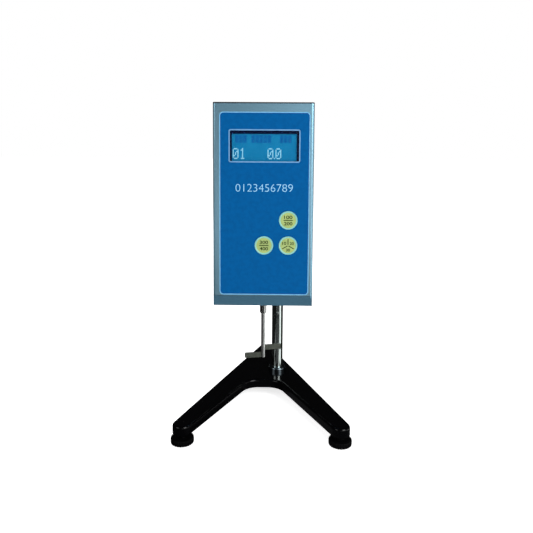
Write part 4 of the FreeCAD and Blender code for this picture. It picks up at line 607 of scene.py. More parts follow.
def swept(path: Array, side: Array, lift: Array, section: Array, closed: bool = True) -> Shell:
    """Section carried along a path: each point is path + u side + v lift for the section's (u, v).

    Args:
        path: points of the path.
        side, lift: unit vectors of the section's two axes at each point of the path.
        section: closed outline of (u, v).
        closed: whether the path closes on itself.
    Returns:
        The shell; open ends are drawn together to a point.
    """
    rows = path[:, None] + section[None, :, :1] * side[:, None] + section[None, :, 1:] * lift[:, None]
    if not closed:
        ends = [np.repeat(rows[k].mean(0)[None], len(section), 0)[None] for k in (0, -1)]
        rows = np.concatenate([ends[0], rows, ends[1]])
    return Shell(rows.reshape(-1, 3), grid_quads(len(rows), len(section), closed, True))


def rounded_path(x0: float, x1: float, z0: float, z1: float, radii: tuple[float, float, float, float],
                 steps: int = 8) -> tuple[Array, Array]:
    """Rounded rectangle, walked anticlockwise from its lower right corner.

    Args:
        x0, x1, z0, z1: its sides.
        radii: corner radii: lower right, upper right, upper left, lower left.
        steps: points of each corner.
    Returns:
        The points (x, z) and the outward unit normals.
    """
    centres = np.array([[x1 - radii[0], z0 + radii[0]], [x1 - radii[1], z1 - radii[1]],
                        [x0 + radii[2], z1 - radii[2]], [x0 + radii[3], z0 + radii[3]]])
    angle = np.linspace(0.0, np.pi / 2, steps)[None] + np.arange(-1, 3)[:, None] * np.pi / 2
    normal = np.stack([np.cos(angle), np.sin(angle)], -1)
    points = centres[:, None] + normal * np.array(radii)[:, None, None]
    return points.reshape(-1, 2), normal.reshape(-1, 2)


def bar_section(width: float) -> Array:
    """Cross-section of a printed line.

    Args:
        width: the line's width.
    Returns:
        Rectangle about the path, from its surface up by the print's thickness.
    """
    half = width / 2
    return np.array([[-half, 0.0], [half, 0.0], [half, PRINT_THICK], [-half, PRINT_THICK]])


def front_line(low: Array, high: Array, inset: float, radius: float, width: float, y: float) -> Shell:
    """Printed line round a rounded rectangle on a face that looks to the front.

    Args:
        low, high: the corners of the piece that the line follows.
        inset: how far the line's middle lies inside that piece's sides.
        radius: the line's corner radius.
        width: the line's width.
        y: where the face lies.
    Returns:
        The line's shell.
    """
    x0, x1, z0, z1 = low[0] + inset, high[0] - inset, low[2] + inset, high[2] - inset
    points, normal = rounded_path(x0, x1, z0, z1, (radius,) * 4)
    zero = np.zeros(len(points))
    path = np.stack([points[:, 0], zero + y, points[:, 1]], -1)
    side = np.stack([normal[:, 0], zero, normal[:, 1]], -1)
    return swept(path, side, np.tile([0.0, -1.0, 0.0], (len(points), 1)), bar_section(width))


def tiles(centres: Array, width: float, height: float) -> Shell:
    """Upright printed tiles that look to the front: the corners of one, added to every centre.

    Args:
        centres: the middles of their backs.
        width, height: the size of each tile.
    Returns:
        One shell of all the tiles.
    """
    signs = np.array([[-1, 0, -1], [1, 0, -1], [1, 0, 1], [-1, 0, 1],
                      [-1, 1, -1], [1, 1, -1], [1, 1, 1], [-1, 1, 1]])
    tile = signs * np.array([width / 2, -PRINT_THICK, height / 2])
    faces = np.array([[0, 1, 2, 3], [5, 4, 7, 6], [0, 4, 5, 1], [1, 5, 6, 2], [2, 6, 7, 3], [3, 7, 4, 0]])
    points = (centres[:, None] + tile[None]).reshape(-1, 3)
    quads = (faces[None] + len(tile) * np.arange(len(centres))[:, None, None]).reshape(-1, 4)
    return Shell(points, quads)


def make(name: str, shells: list[Shell], body: str, finish: Finish, sharp: float,
         stands_for: tuple[str, ...] = ()) -> bpy.types.Object:
    """Put shells into one mesh object, close its poles, dress it and let it ride.

    Args:
        name: the piece's name.
        shells: its surfaces, in millimetres.
        body: the body that it rides on.
        finish: its finish.
        sharp: edges that bend more than this many degrees stay sharp.
        stands_for: nodes that it replaces.
    Returns:
        The object.
    """
    starts = np.cumsum([0] + [len(s.points) for s in shells[:-1]])
    points = np.concatenate([s.points for s in shells]) * MM
    quads = np.concatenate([s.quads + start for s, start in zip(shells, starts)])
    mesh = bpy.data.meshes.new(name)
    mesh.from_pydata(points.tolist(), [], quads.tolist())
    return dress(name, mesh, body, finish, sharp, stands_for)


def dress(name: str, mesh: bpy.types.Mesh, body: str, finish: Finish, sharp: float,
          stands_for: tuple[str, ...] = ()) -> bpy.types.Object:
    """Merge doubles, turn faces outwards, smooth, add the finish and ride.

    Args:
        name, body, finish, sharp, stands_for: as in make.
        mesh: the piece's mesh, in metres.
    Returns:
        The object.
    """
    work = bmesh.new()
    work.from_mesh(mesh)
    bmesh.ops.remove_doubles(work, verts=work.verts, dist=SAME_POINT)
    bmesh.ops.dissolve_degenerate(work, edges=work.edges, dist=THIN_EDGE)
    bmesh.ops.recalc_face_normals(work, faces=work.faces)
    work.to_mesh(mesh)
    work.free()
    mesh.polygons.foreach_set("use_smooth", np.ones(len(mesh.polygons), dtype=bool))
    mesh.set_sharp_from_angle(angle=math.radians(sharp))
    mesh.materials.append(finish.build())
    piece = bpy.data.objects.new(name, mesh)
    bpy.context.scene.collection.objects.link(piece)
    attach(piece, body)
    if stands_for:
        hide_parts(*stands_for)
    LOG.info("%s: %d faces on %s", name, len(mesh.polygons), body)
    return piece


def numerals(name: str, text: str, width: float, height: float, place: tuple[float, float, float], body: str,
             finish: Finish, slot: str, weight: float) -> bpy.types.Object:
    """Plain numerals made a mesh, fitted to a width and height and set on a face that looks to the front.

    Args:
        name: the piece's name.
        text: the numerals.
        width, height: the size they are fitted to.
        place: the middle of the numerals on the face.
        body, finish: as in make; slot: not used.
        weight: how far each stroke's outline is moved out, as a share of the letter size.
    Returns:
        The object.
    """
    curve = bpy.data.curves.new(name + "_outline", "FONT")
    curve.body = text
    curve.extrude = LETTER_THICK
    curve.offset = weight
    holder = bpy.data.objects.new(name + "_holder", curve)
    mesh = bpy.data.meshes.new_from_object(holder)
    mesh.name = name
    bpy.data.objects.remove(holder)
    bpy.data.curves.remove(curve)
    points = np.empty(len(mesh.vertices) * 3)
    mesh.vertices.foreach_get("co", points)
    points = points.reshape(-1, 3)
    low, high = points.min(0), points.max(0)
    points = (points - (low + high) / 2) * np.array([width, height, PRINT_THICK]) / (high - low)
    points[:, 2] += PRINT_THICK / 2
    points = (points @ TO_FRONT.T + np.array(place)) * MM
    mesh.vertices.foreach_set("co", points.ravel())
    mesh.update()
    return dress(name, mesh, body, finish, SHARP_TILE)


def corners(node: str) -> tuple[Array, Array]:
    """Corners of a node's box.

    Args:
        node: the node's name.
    Returns:
        Its lowest and highest corner in millimetres.
    """
    low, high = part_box(node)
    return np.array(low) / MM, np.array(high) / MM


class SolidFinishes:
    """Gives each solid of the frame its finish."""

    def key_finish(self, node: str) -> KeyFinish:
        """Finish of a round key, its ring centred on the key.

        Args:
            node: the key's node.
        Returns:
            The finish.
        """
        low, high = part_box(node)
        base = FINISHES["key_plastic"]
        return KeyFinish(node + "_finish", base.pattern, base.colour, base.deep, base.roughness, base.spread,
                         base.scale, bump=base.bump, centre=tuple((low + high) / 2), ring=KEY_RING)

    def dress(self) -> None:
        """Put the node's own finish, or its slot's, into every material slot of every node."""
        slots = {part["node"]: part["material_slot"] for part in frame["record"]["subparts"]}
        for node, solid in frame["nodes"].items():
            if slots[node] == "key_plastic":
                finish = self.key_finish(node)
            else:
                finish = NODE_FINISHES.get(node, FINISHES[slots[node]])
            material = finish.build()
            for holder in solid.material_slots:
                holder.material = material
            LOG.info("%s: %s", node, material.name)


@dataclass
class Thread:
    """Vee thread along the Z axis."""

    radius: float
    pitch: float = 1.25
    depth: float = 0.5
    steps: int = 36
    rows_per_turn: int = 6
    least_rows: int = 8

    def shell(self, low: float, high: float) -> Shell:
        """Threaded bar.

        The radius at height z and angle t is the full radius less the depth times a triangle wave of
        z / pitch - t / (2 pi), faded out at both ends.

        Args:
            low, high: the levels of its ends.
        Returns:
            The bar's shell.
        """
        turns = (high - low) / self.pitch
        level = np.linspace(low, high, max(int(turns * self.rows_per_turn), self.least_rows))
        phase = (level[:, None] - low) / self.pitch - round_angles(self.steps) / (2 * np.pi)
        wave = np.abs(2 * (phase - np.floor(phase + 0.5)))
        near = np.clip(np.minimum(level - low, high - level) / self.pitch, 0.0, 1.0)[:, None]
        cut = self.depth * (wave * near + (1 - near))
        full = np.concatenate([[0.0], np.full(len(level), self.radius), [0.0]])
        heights = np.concatenate([[low], level, [high]])
        flute = np.concatenate([np.zeros((1, self.steps)), cut, np.zeros((1, self.steps))])
        return lathe(full, heights, self.steps, flute)


@dataclass
class LevellingFoot:
    """Scalloped disc on a threaded stud, hollow below for its pad."""

    place: str
    scallops: int = 26
    scallop_depth: float = 0.75
    steps_per_scallop: int = 6
    disc_thick: float = 7.7
    recess_radius: float = 12.3
    recess_high: float = 0.85
    bore_radius: float = 3.05
    bore_high: float = 5.6
    shoulder_radius: float = 5.5
    shoulder_high: float = 1.5
    stud_radius: float = 4.0
    stud_sink: float = 0.2

    def disc(self, rim: float) -> Shell:
        """Disc with rounded scallops: the rim is drawn in by depth times one less the size of a half sine.

        Args:
            rim: its full radius.
        Returns:
            The disc's shell, from zero up.
        """
        top, shoulder = self.disc_thick, self.disc_thick + self.shoulder_high
        # Profile from the axis below, through the recess, over the rounded rim, and back to the axis above
        radius = [0, self.bore_radius, self.bore_radius, self.recess_radius, self.recess_radius, rim - 0.8,
                  rim - 0.2, rim, rim, rim - 0.25, rim - 1.1, rim - 3.0, self.shoulder_radius,
                  self.shoulder_radius, self.stud_radius - 0.5, 0]
        height = [self.bore_high, self.bore_high, self.recess_high, self.recess_high, 0, 0,
                  0.25, 0.9, top - 1.3, top - 0.45, top, top, top, shoulder, shoulder, shoulder]
        steps = self.scallops * self.steps_per_scallop
        groove = self.scallop_depth * (1 - np.abs(np.sin(self.scallops * round_angles(steps) / 2)))
        share = np.zeros(len(radius))
        share[5:11] = (0.6, 0.9, 1.0, 1.0, 0.9, 0.6)
        return lathe(np.array(radius), np.array(height), steps, share[:, None] * groove)

    def build(self) -> None:
        """The disc and its stud as one piece in place of the plain screw."""
        node = "foot_screw_" + self.place
        low, high = corners(node)
        x, y, _ = (low + high) / 2
        seat = self.disc_thick + self.shoulder_high - self.stud_sink
        stud = Thread(self.stud_radius).shell(seat, high[2] - low[2])
        shells = [shell.moved(x, y, low[2]) for shell in (self.disc((high[0] - low[0]) / 2), stud)]
        make("levelling_screw_" + self.place, shells, node, FOOT_BLACK, SHARP_TURNED,
             (node,))


@dataclass
class LobedKnob:
    """Hand knob with soft lobes about the Z axis, its inner face at zero."""

    thick: float
    neck: float
    lobes: int
    hollow: float
    hub_radius: float
    lobe_sharpness: float = 1.6
    inner_share: float = 0.55
    dish_outer: float = 0.52
    dish_inner: float = 0.48
    dish_deep: float = 0.7
    steps: int = 144

    def shell(self, reach: float) -> Shell:
        """Knob surface: the rim is drawn in by hollow times a power of a raised cosine round the axis.

        Args:
            reach: the knob's full radius.
        Returns:
            The knob's shell.
        """
        r, t = reach, self.thick
        # Profile from the hub's end, over the rounded rim, to the dish in the outer face
        radius = np.array([0, self.hub_radius, self.hub_radius, r * self.inner_share, r - 1.6, r - 0.4, r, r,
                           r - 0.5, r - 1.8, r - 3.4, r * self.dish_outer, r * self.dish_inner, 0])
        height = np.array([-self.neck, -self.neck, 0, 0, 0.1, 0.7, 1.9, t - 3.2, t - 1.6, t - 0.5, t, t,
                           t - self.dish_deep, t - self.dish_deep])
        share = np.array([0, 0, 0, 0, 0.8, 0.95, 1.0, 1.0, 0.95, 0.85, 0.7, 0, 0, 0])
        wave = (0.5 + 0.5 * np.cos(self.lobes * round_angles(self.steps))) ** self.lobe_sharpness
        return lathe(radius, height, self.steps, share[:, None] * (wave * self.hollow))


@dataclass
class Lift:
    """Hand knobs of the lift and of the clamp."""

    lift_knob: LobedKnob = field(default_factory=lambda: LobedKnob(14.0, 3.0, 8, 2.6, 8.0))
    clamp_knob: LobedKnob = field(default_factory=lambda: LobedKnob(12.0, 1.5, 6, 2.0, 5.5))
    clamp_screw: Thread = field(default_factory=lambda: Thread(3.0, 1.0, 0.4))
    screw_in_knob: float = 2.0

    def pair(self) -> None:
        """Both lift knobs, one the mirror image of the other, as one piece."""
        low, high = corners("lift_knobs")
        _, y, z = (low + high) / 2
        across = self.lift_knob.shell((high[2] - low[2]) / 2).turned(TO_X)
        shells = [across.moved(high[0] - self.lift_knob.thick, y, z),
                  across.turned(MIRROR_X).moved(low[0] + self.lift_knob.thick, y, z)]
        make("lift_knob_pair", shells, "pinion", KNOB_BLACK, SHARP_TURNED, ("lift_knobs",))

    def clamp(self) -> None:
        """The clamp knob with its screw as one piece."""
        low, high = corners("clamp_knob")
        _, y, z = (low + high) / 2
        face = high[0] - self.clamp_knob.thick
        knob = self.clamp_knob.shell((high[2] - low[2]) / 2).turned(TO_X).moved(face, y, z)
        screw = self.clamp_screw.shell(low[0], face + self.screw_in_knob).turned(TO_X).moved(0.0, y, z)
        make("clamp_knob_and_screw", [knob, screw], "clamp_knob", KNOB_BLACK, SHARP_TURNED,
             ("clamp_knob",))

    def build(self) -> None:
        """All the knobs."""
        self.pair()
        self.clamp()


@dataclass
class ScrewHead:
    """Low round screw head with a hexagonal socket."""

    radius: float = 2.8
    high: float = 1.5
    socket: float = 2.5
    sink: float = 1.0
    lip: float = 2.0
    steps: int = 48

    def shell(self) -> Shell:
        """Head about the Z axis, seated at zero.

        The socket's radius at angle t is half its width across flats over the cosine of t taken from the
        middle of its flat.

        Returns:
            The head's shell.
        """
        third = np.pi / 3
        flat = self.socket / 2 / np.cos((round_angles(self.steps) % third) - third / 2)
        r, h = self.radius, self.high
        # Profile from the seat, over the rounded rim, and down into the socket
        radius = np.array([0, r, r, r - 0.25, r - 0.9, self.lip, self.lip, self.lip])
        height = np.array([0, 0, h * 0.45, h * 0.8, h, h, h - self.sink, h - self.sink])
        inset = np.zeros((len(radius), self.steps))
        inset[5:7] = self.lip - flat
        inset[7] = self.lip
        return lathe(radius, height, self.steps, inset)


@dataclass
class Screws:
    """Small screws that show: rear cover, bottom cover, rack ends and the block's grip screw."""

    rear_head: ScrewHead = field(default_factory=ScrewHead)
    rear_x: tuple[float, float] = (-18.0, 54.0)
    rear_up: float = 8.0
    rear_under_cap: float = 77.3
    chin_head: ScrewHead = field(default_factory=lambda: ScrewHead(2.6, 1.2, 2.2, 0.8))
    chin_side: float = 14.0
    chin_behind_cover: float = 7.0
    chin_before_board: float = 3.0
    rack_head: ScrewHead = field(default_factory=lambda: ScrewHead(2.2, 0.7, 1.8, 0.5))
    rack_end: float = 3.0
    rack_sink: float = 0.6
    grip_head: ScrewHead = field(default_factory=lambda: ScrewHead(3.6, 3.4, 3.0, 1.6))
    grip_back: float = 13.0

    def heads(self, name: str, head: ScrewHead, turn: Array, places: list[tuple], body: str) -> None:
        """One piece of equal heads.

        Args:
            name: the piece's name.
            head: the head.
            turn: matrix that turns it from the Z axis.
            places: where each is seated.
            body: the body that they ride on.
        """
        shells = [head.shell().turned(turn).moved(*place) for place in places]
        make(name, shells, body, FINISHES["screw_steel"], SHARP_TURNED)

    def build(self) -> None:
        """Each group of heads is one piece on its own body."""
        low, high = corners("rear_cover")
        levels = (low[2] + self.rear_up, corners("top_cap")[0][2] - self.rear_under_cap)
        places = [(x, high[1], z) for x in self.rear_x for z in levels]
        self.heads("rear_cover_screws", self.rear_head, TO_REAR, places, "head")
        depths = (low[1] + self.chin_behind_cover, corners("main_board")[1][1] - self.chin_before_board)
        low, high = corners("bottom_cover")
        sides = (low[0] + self.chin_side, high[0] - self.chin_side)
        places = [(x, y, low[2]) for x in sides for y in depths]
        self.heads("bottom_cover_screws", self.chin_head, TO_BELOW, places, "head")
        low, high = corners("column_rack")
        x, seat = (low[0] + high[0]) / 2, high[1] - self.rack_sink
        ends = (low[2] + self.rack_end, high[2] - self.rack_end)
        self.heads("rack_end_screws", self.rack_head, TO_REAR, [(x, seat, z) for z in ends], "base")
        low, high = corners("lift_block")
        places = [(0.0, low[1] + self.grip_back, high[2])]
        self.heads("arm_grip_screw", self.grip_head, np.eye(3), places, "head")


@dataclass
class PanelPrintAndShade:
    """Lines and numerals printed on the blue film, and a deeper blue line of painted shade inside its edge. A
    line is its inset, corner radius and width.
    """

    edge: tuple[float, float, float] = (0.4, 5.0, 1.5)
    shade: tuple[float, float, float] = (1.6, 4.2, 0.9)
    window: tuple[float, float, float] = (0.9, 2.4, 1.6)
    row_left: float = -37.8
    row_right: float = 40.3
    row_low: float = 332.0
    row_high: float = 342.4
    row_weight: float = -0.016

    def build(self) -> None:
        """Pale line round the film, a deeper blue line of painted shade inside it, the window's border and
        the row of numerals.
        """
        film, opening = corners("front_panel"), corners("display_window")
        face = film[0][1]
        for name, around, line, finish in (("panel_border_line", film, self.edge, PRINT_BORDER),
                                           ("panel_painted_shade_line", film, self.shade, PAINTED_EDGE_SHADE),
                                           ("window_border_line", opening, self.window, WINDOW_EDGE)):
            make(name, [front_line(*around, *line, face)], "head", finish, SHARP_LINE)
        middle = ((self.row_left + self.row_right) / 2, face, (self.row_low + self.row_high) / 2)
        width, height = self.row_right - self.row_left, self.row_high - self.row_low
        numerals("panel_numerals", "0123456789", width, height, middle, "head", PRINT_NUMERAL, "panel_blue",
                 self.row_weight)


@dataclass
class DotGlyph:
    """A display character drawn in dots."""

    rows: tuple[str, ...]

    def centres(self, left: float, top: float, pitch_x: float, pitch_z: float) -> Array:
        """Places of the lit dots, from the rows read as a table of marks.

        Args:
            left, top: the character's upper left corner.
            pitch_x, pitch_z: the dots' spacing.
        Returns:
            One (x, z) for each lit dot.
        """
        marks = np.array([list(row) for row in self.rows]) == "#"
        row, column = np.nonzero(marks)
        return np.stack([left + (column + 0.5) * pitch_x, top - (row + 0.5) * pitch_z], -1)


ZERO = DotGlyph((" ### ", "#   #", "#  ##", "# # #", "# # #", "##  #", "#   #", " ### "))
ONE = DotGlyph(("  #  ", " ##  ", "  #  ", "  #  ", "  #  ", "  #  ", "  #  ", " ### "))
POINT = DotGlyph((" ", " ", " ", " ", " ", " ", " ", "#"))


@dataclass
class Display:
    """Lit dots and dim cells on the display's glass."""

    line: tuple[tuple[DotGlyph, float], ...] = ((ZERO, -42.1), (ONE, -32.6), (ZERO, 5.4), (POINT, 14.1),
                                                (ZERO, 16.2))
    dot_x: float = 1.62
    dot_z: float = 1.88
    dot_fill_x: float = 0.86
    dot_fill_z: float = 0.88
    big_top: float = 391.2
    cells: tuple[int, ...] = (0, 1, 2, 4, 5, 6, 7, 8, 11, 12, 13)
    cell_start: float = 2.0
    cell_shift: float = 0.72
    cell_pitch: float = 5.54
    cell_width: float = 4.6
    cell_low: float = 398.3
    cell_high: float = 408.8

    def build(self) -> None:
        """Two numerals at the left, a reading of zero, and the row of dim cells above them."""
        low, _ = corners("display_glass")
        flat = np.concatenate([g.centres(x, self.big_top, self.dot_x, self.dot_z) for g, x in self.line])
        dots = np.stack([flat[:, 0], np.full(len(flat), low[1]), flat[:, 1]], -1)
        lit = tiles(dots, self.dot_x * self.dot_fill_x, self.dot_z * self.dot_fill_z)
        make("display_lit_dots", [lit], "head", LIT_DOT, SHARP_TILE)
        x = low[0] + self.cell_start + (np.array(self.cells) + self.cell_shift + 0.5) * self.cell_pitch
        level = np.full(len(x), (self.cell_low + self.cell_high) / 2)
        cells = np.stack([x, np.full(len(x), low[1]), level], -1)
        dim = tiles(cells, self.cell_width, self.cell_high - self.cell_low)
        make("display_dim_cells", [dim], "head", DIM_CELL, SHARP_TILE)


@dataclass
class KeyMarks:
    """Numerals and divider printed on a round key: two numerals, or three round a forked divider."""

    key: str
    texts: tuple[str, ...]
    face_sink: float = 0.35
    weight: float = 0.022
    bar_width: float = 1.2
    bar_reach: float = 6.4
    pair_size: tuple[float, float] = (11.6, 4.8)
    pair_places: tuple[tuple[float, float], ...] = ((0.0, 4.3), (0.0, -4.5))
    fork_start: float = 0.1
    fork_tips: tuple[tuple[float, float], ...] = ((0.0, 9.2), (-8.0, -4.6), (8.0, -4.6))
    fork_size: tuple[float, float] = (5.6, 4.2)
    fork_places: tuple[tuple[float, float], ...] = ((-5.2, 3.0), (5.2, 3.0), (0.0, -6.2))

    def bar(self, start: Array, end: Array, face: float) -> Shell:
        """Straight printed bar.

        Args:
            start, end: its ends (x, z).
            face: where the key's face lies.
        Returns:
            The bar's shell.
        """
        ends = np.array([start, end])
        along = (end - start) / np.linalg.norm(end - start)
        path = np.stack([ends[:, 0], [face, face], ends[:, 1]], -1)
        side = np.tile([-along[1], 0.0, along[0]], (2, 1))
        return swept(path, side, np.tile([0.0, -1.0, 0.0], (2, 1)), bar_section(self.bar_width), False)

    def build(self) -> None:
        """The numerals, each its own piece, and their divider."""
        low, high = corners(self.key)
        middle, face = (low[::2] + high[::2]) / 2, low[1] + self.face_sink
        if len(self.texts) == len(self.pair_places):
            reach, size, places = np.array([self.bar_reach, 0.0]), self.pair_size, self.pair_places
            names = ("upper_mark", "lower_mark")
            bars = [self.bar(middle - reach, middle + reach, face)]
        else:
            tips, size, places = np.array(self.fork_tips), self.fork_size, self.fork_places
            names = tuple(f"mark_{number + 1}" for number in range(len(places)))
            bars = [self.bar(middle + self.fork_start * tip, middle + tip, face) for tip in tips]
        for name, text, (dx, dz) in zip(names, self.texts, places):
            spot = (middle[0] + dx, face, middle[1] + dz)
            numerals(f"{self.key}_{name}", text, *size, spot, self.key, KEY_MARK, "key_plastic", self.weight)
        make(self.key + "_divider", bars, self.key, KEY_MARK, SHARP_TILE)


@dataclass
class SpiritLevel:
    """Round level in the lid: brass cup, fluid with a ring, and a bubble. Heights are from the cup's top."""

    wall: float = 1.5
    floor: float = -1.6
    dome_edge: float = -0.65
    dome_top: float = -0.15
    ring_inner: float = 3.1
    ring_outer: float = 3.4
    ring_low: float = -0.28
    ring_high: float = -0.14
    bubble_radius: float = 2.3
    bubble_floor: float = -0.3
    bubble_edge: float = -0.16
    bubble_top: float = -0.04
    bubble_drift: tuple[float, float] = (0.3, -0.2)
    cup_steps: int = 72
    fluid_steps: int = 60
    fluid_points: int = 12
    bubble_steps: int = 40
    bubble_points: int = 8

    def dome(self, reach: float, floor: float, edge: float, top: float, points: int, steps: int) -> Shell:
        """Flat-bottomed dome whose height falls from its top by the square of the distance from its middle.

        Args:
            reach: its radius.
            floor, edge, top: levels of its bottom, of its rim and of its middle.
            points: points of its curve.
            steps: points round it.
        Returns:
            The dome's shell.
        """
        share = np.linspace(0.0, 1.0, points)[::-1]
        radius = np.concatenate([[0.0], reach * share])
        height = np.concatenate([[floor], top - (top - edge) * share ** 2])
        return lathe(radius, height, steps)

    def build(self) -> None:
        """Cup as a lathe with a rim, fluid as a shallow dome, ring and bubble just over it."""
        low, high = corners("bubble_level")
        x, y, _ = (low + high) / 2
        r, deep, top = (high[0] - low[0]) / 2, high[2] - low[2], high[2]
        radius = np.array([0, r - 0.5, r, r, r - 0.3, r - 1.2, r - self.wall, r - self.wall, 0])
        height = np.array([-deep, -deep, -deep + 0.5, -0.35, 0, 0, -0.3, self.floor, self.floor])
        cup = lathe(radius, height, self.cup_steps).moved(x, y, top)
        make("level_cup", [cup], "head", FINISHES["level_vial"], SHARP_TURNED,
             ("bubble_level",))
        fluid = self.dome(r - self.wall, self.floor, self.dome_edge, self.dome_top, self.fluid_points,
                          self.fluid_steps)
        # The fluid's finish glows: painted light.
        make("level_fluid", [fluid.moved(x, y, top)], "head", LEVEL_FLUID_PAINTED_GLOW, SHARP_TURNED)
        inner, outer = self.ring_inner, self.ring_outer
        radius = np.array([inner, outer, outer, inner, inner])
        height = np.array([self.ring_low, self.ring_low, self.ring_high, self.ring_high, self.ring_low])
        ring = lathe(radius, height, self.fluid_steps).moved(x, y, top)
        make("level_ring", [ring], "head", DARK_MARK_AND_HOLE_SHADE, SHARP_LINE)
        bubble = self.dome(self.bubble_radius, self.bubble_floor, self.bubble_edge, self.bubble_top,
                           self.bubble_points, self.bubble_steps)
        make("level_bubble", [bubble.moved(x + self.bubble_drift[0], y + self.bubble_drift[1], top)], "head",
             LEVEL_BUBBLE, SHARP_TURNED)


@dataclass
class HeadSeams:
    """Fine shadow lines where the head's covers meet."""

    bead_radius: float = 0.126
    bead_steps: int = 8
    chin_radii: tuple[float, float, float, float] = (4.0, 9.0, 9.0, 4.0)
    corner_steps: int = 10

    def build(self) -> None:
        """Round beads along both sides of the front frame and all round the top of the chin."""
        low, high = corners("front_frame")
        chin_low, chin_high = corners("bottom_cover")
        angle = round_angles(self.bead_steps)
        bead = self.bead_radius * np.stack([np.cos(angle), np.sin(angle)], -1)
        side, lift = np.tile([1.0, 0, 0], (2, 1)), np.tile([0, 1.0, 0], (2, 1))
        shells = [swept(np.array([[x, high[1], low[2]], [x, high[1], high[2]]]), side, lift, bead, False)
                  for x in (low[0], high[0])]
        points, normal = rounded_path(chin_low[0], chin_high[0], chin_low[1], chin_high[1], self.chin_radii,
                                      self.corner_steps)
        zero = np.zeros(len(points))
        path = np.stack([points[:, 0], points[:, 1], zero + chin_high[2]], -1)
        side = np.stack([normal[:, 0], normal[:, 1], zero], -1)
        shells.append(swept(path, side, np.tile([0, 0, 1.0], (len(points), 1)), bead))
        make("head_seam_lines", shells, "head", SEAM, SHARP_LINE)


@dataclass
class RearFittings:
    """Marks of the power switch, and painted shade of the serial port's pin sockets; angles in degrees."""

    rocker_lean: float = 8.0
    face_slope: float = 10.6
    face_out: float = 7.2
    pivot_deep: float = 5.0
    mark_reach: float = 5.0
    ring_inner: float = 1.9
    ring_outer: float = 2.3
    bar_wide: float = 0.5
    bar_high: float = 4.2
    pin_rows: tuple[tuple[int, float], ...] = ((5, 1.4), (4, -1.4))
    pin_pitch: float = 2.76
    pin_radius: float = 0.62
    ring_steps: int = 40
    pin_steps: int = 16

    def marks(self) -> None:
        """A bar on one half of the rocker's hollow face and a ring on the other, each laid on its slope."""
        low, high = corners("switch_rocker")
        port_low, port_high = corners("serial_port")
        pivot = ((port_low[0] + port_high[0]) / 2, corners("rear_cover")[1][1] - self.pivot_deep,
                 (low[2] + high[2]) / 2)
        inner, outer = self.ring_inner, self.ring_outer
        ring = lathe(np.array([inner, outer, outer, inner, inner]),
                     np.array([0, 0, PRINT_THICK, PRINT_THICK, 0]), self.ring_steps)
        bar = tiles(np.zeros((1, 3)), self.bar_wide, self.bar_high).turned(TO_FRONT.T)
        lean = turn_z(-math.radians(self.rocker_lean))
        for name, side, shape in (("switch_mark_ring", 1, ring), ("switch_mark_bar", -1, bar)):
            slope = math.radians(self.face_slope) * side
            out = self.face_out + self.mark_reach * math.tan(abs(slope))
            laid = shape.turned(turn_z(slope) @ TO_REAR).moved(side * self.mark_reach, out, 0.0)
            make(name, [laid.turned(lean).moved(*pivot)], "rocker", SWITCH_MARK, SHARP_LINE)

    def sockets(self) -> None:
        """Nine dark discs in two rows on the port's nose, painted shade of its socket holes."""
        low, high = corners("serial_port")
        x, z = (low[0] + high[0]) / 2, (low[2] + high[2]) / 2
        # Dark discs where the socket holes are: painted shade.
        pin = lathe(np.array([0, self.pin_radius, self.pin_radius, self.pin_radius - 0.12, 0]),
                    np.array([-0.2, -0.2, 0.06, 0.1, 0.1]), self.pin_steps).turned(TO_REAR)
        shells = [pin.moved(x + (k - (count - 1) / 2) * self.pin_pitch, high[1], z + rise)
                  for count, rise in self.pin_rows for k in range(count)]
        make("serial_socket_hole_shade", shells, "head", DARK_MARK_AND_HOLE_SHADE, SHARP_TURNED)

    def build(self) -> None:
        """Marks and sockets."""
        self.marks()
        self.sockets()


@dataclass(frozen=True)
class Lamp:
    """Soft rectangular lamp, in metres; one that isn't mirrored leaves no image in glossy surfaces."""

    name: str
    place: tuple[float, float, float]
    aim: tuple[float, float, float]
    size: tuple[float, float]
    power: float
    mirrored: bool = True

    def build(self) -> None:
        """Put the lamp in the scene, turned to its aim."""
        data = bpy.data.lights.new(self.name, "AREA")
        data.shape = "RECTANGLE"
        data.size, data.size_y = self.size
        data.energy = self.power
        lamp = bpy.data.objects.new(self.name, data)
        lamp.location = self.place
        lamp.visible_glossy = self.mirrored
        lamp.rotation_euler = (Vector(self.aim) - Vector(self.place)).to_track_quat("-Z", "Y").to_euler()
        bpy.context.scene.collection.objects.link(lamp)


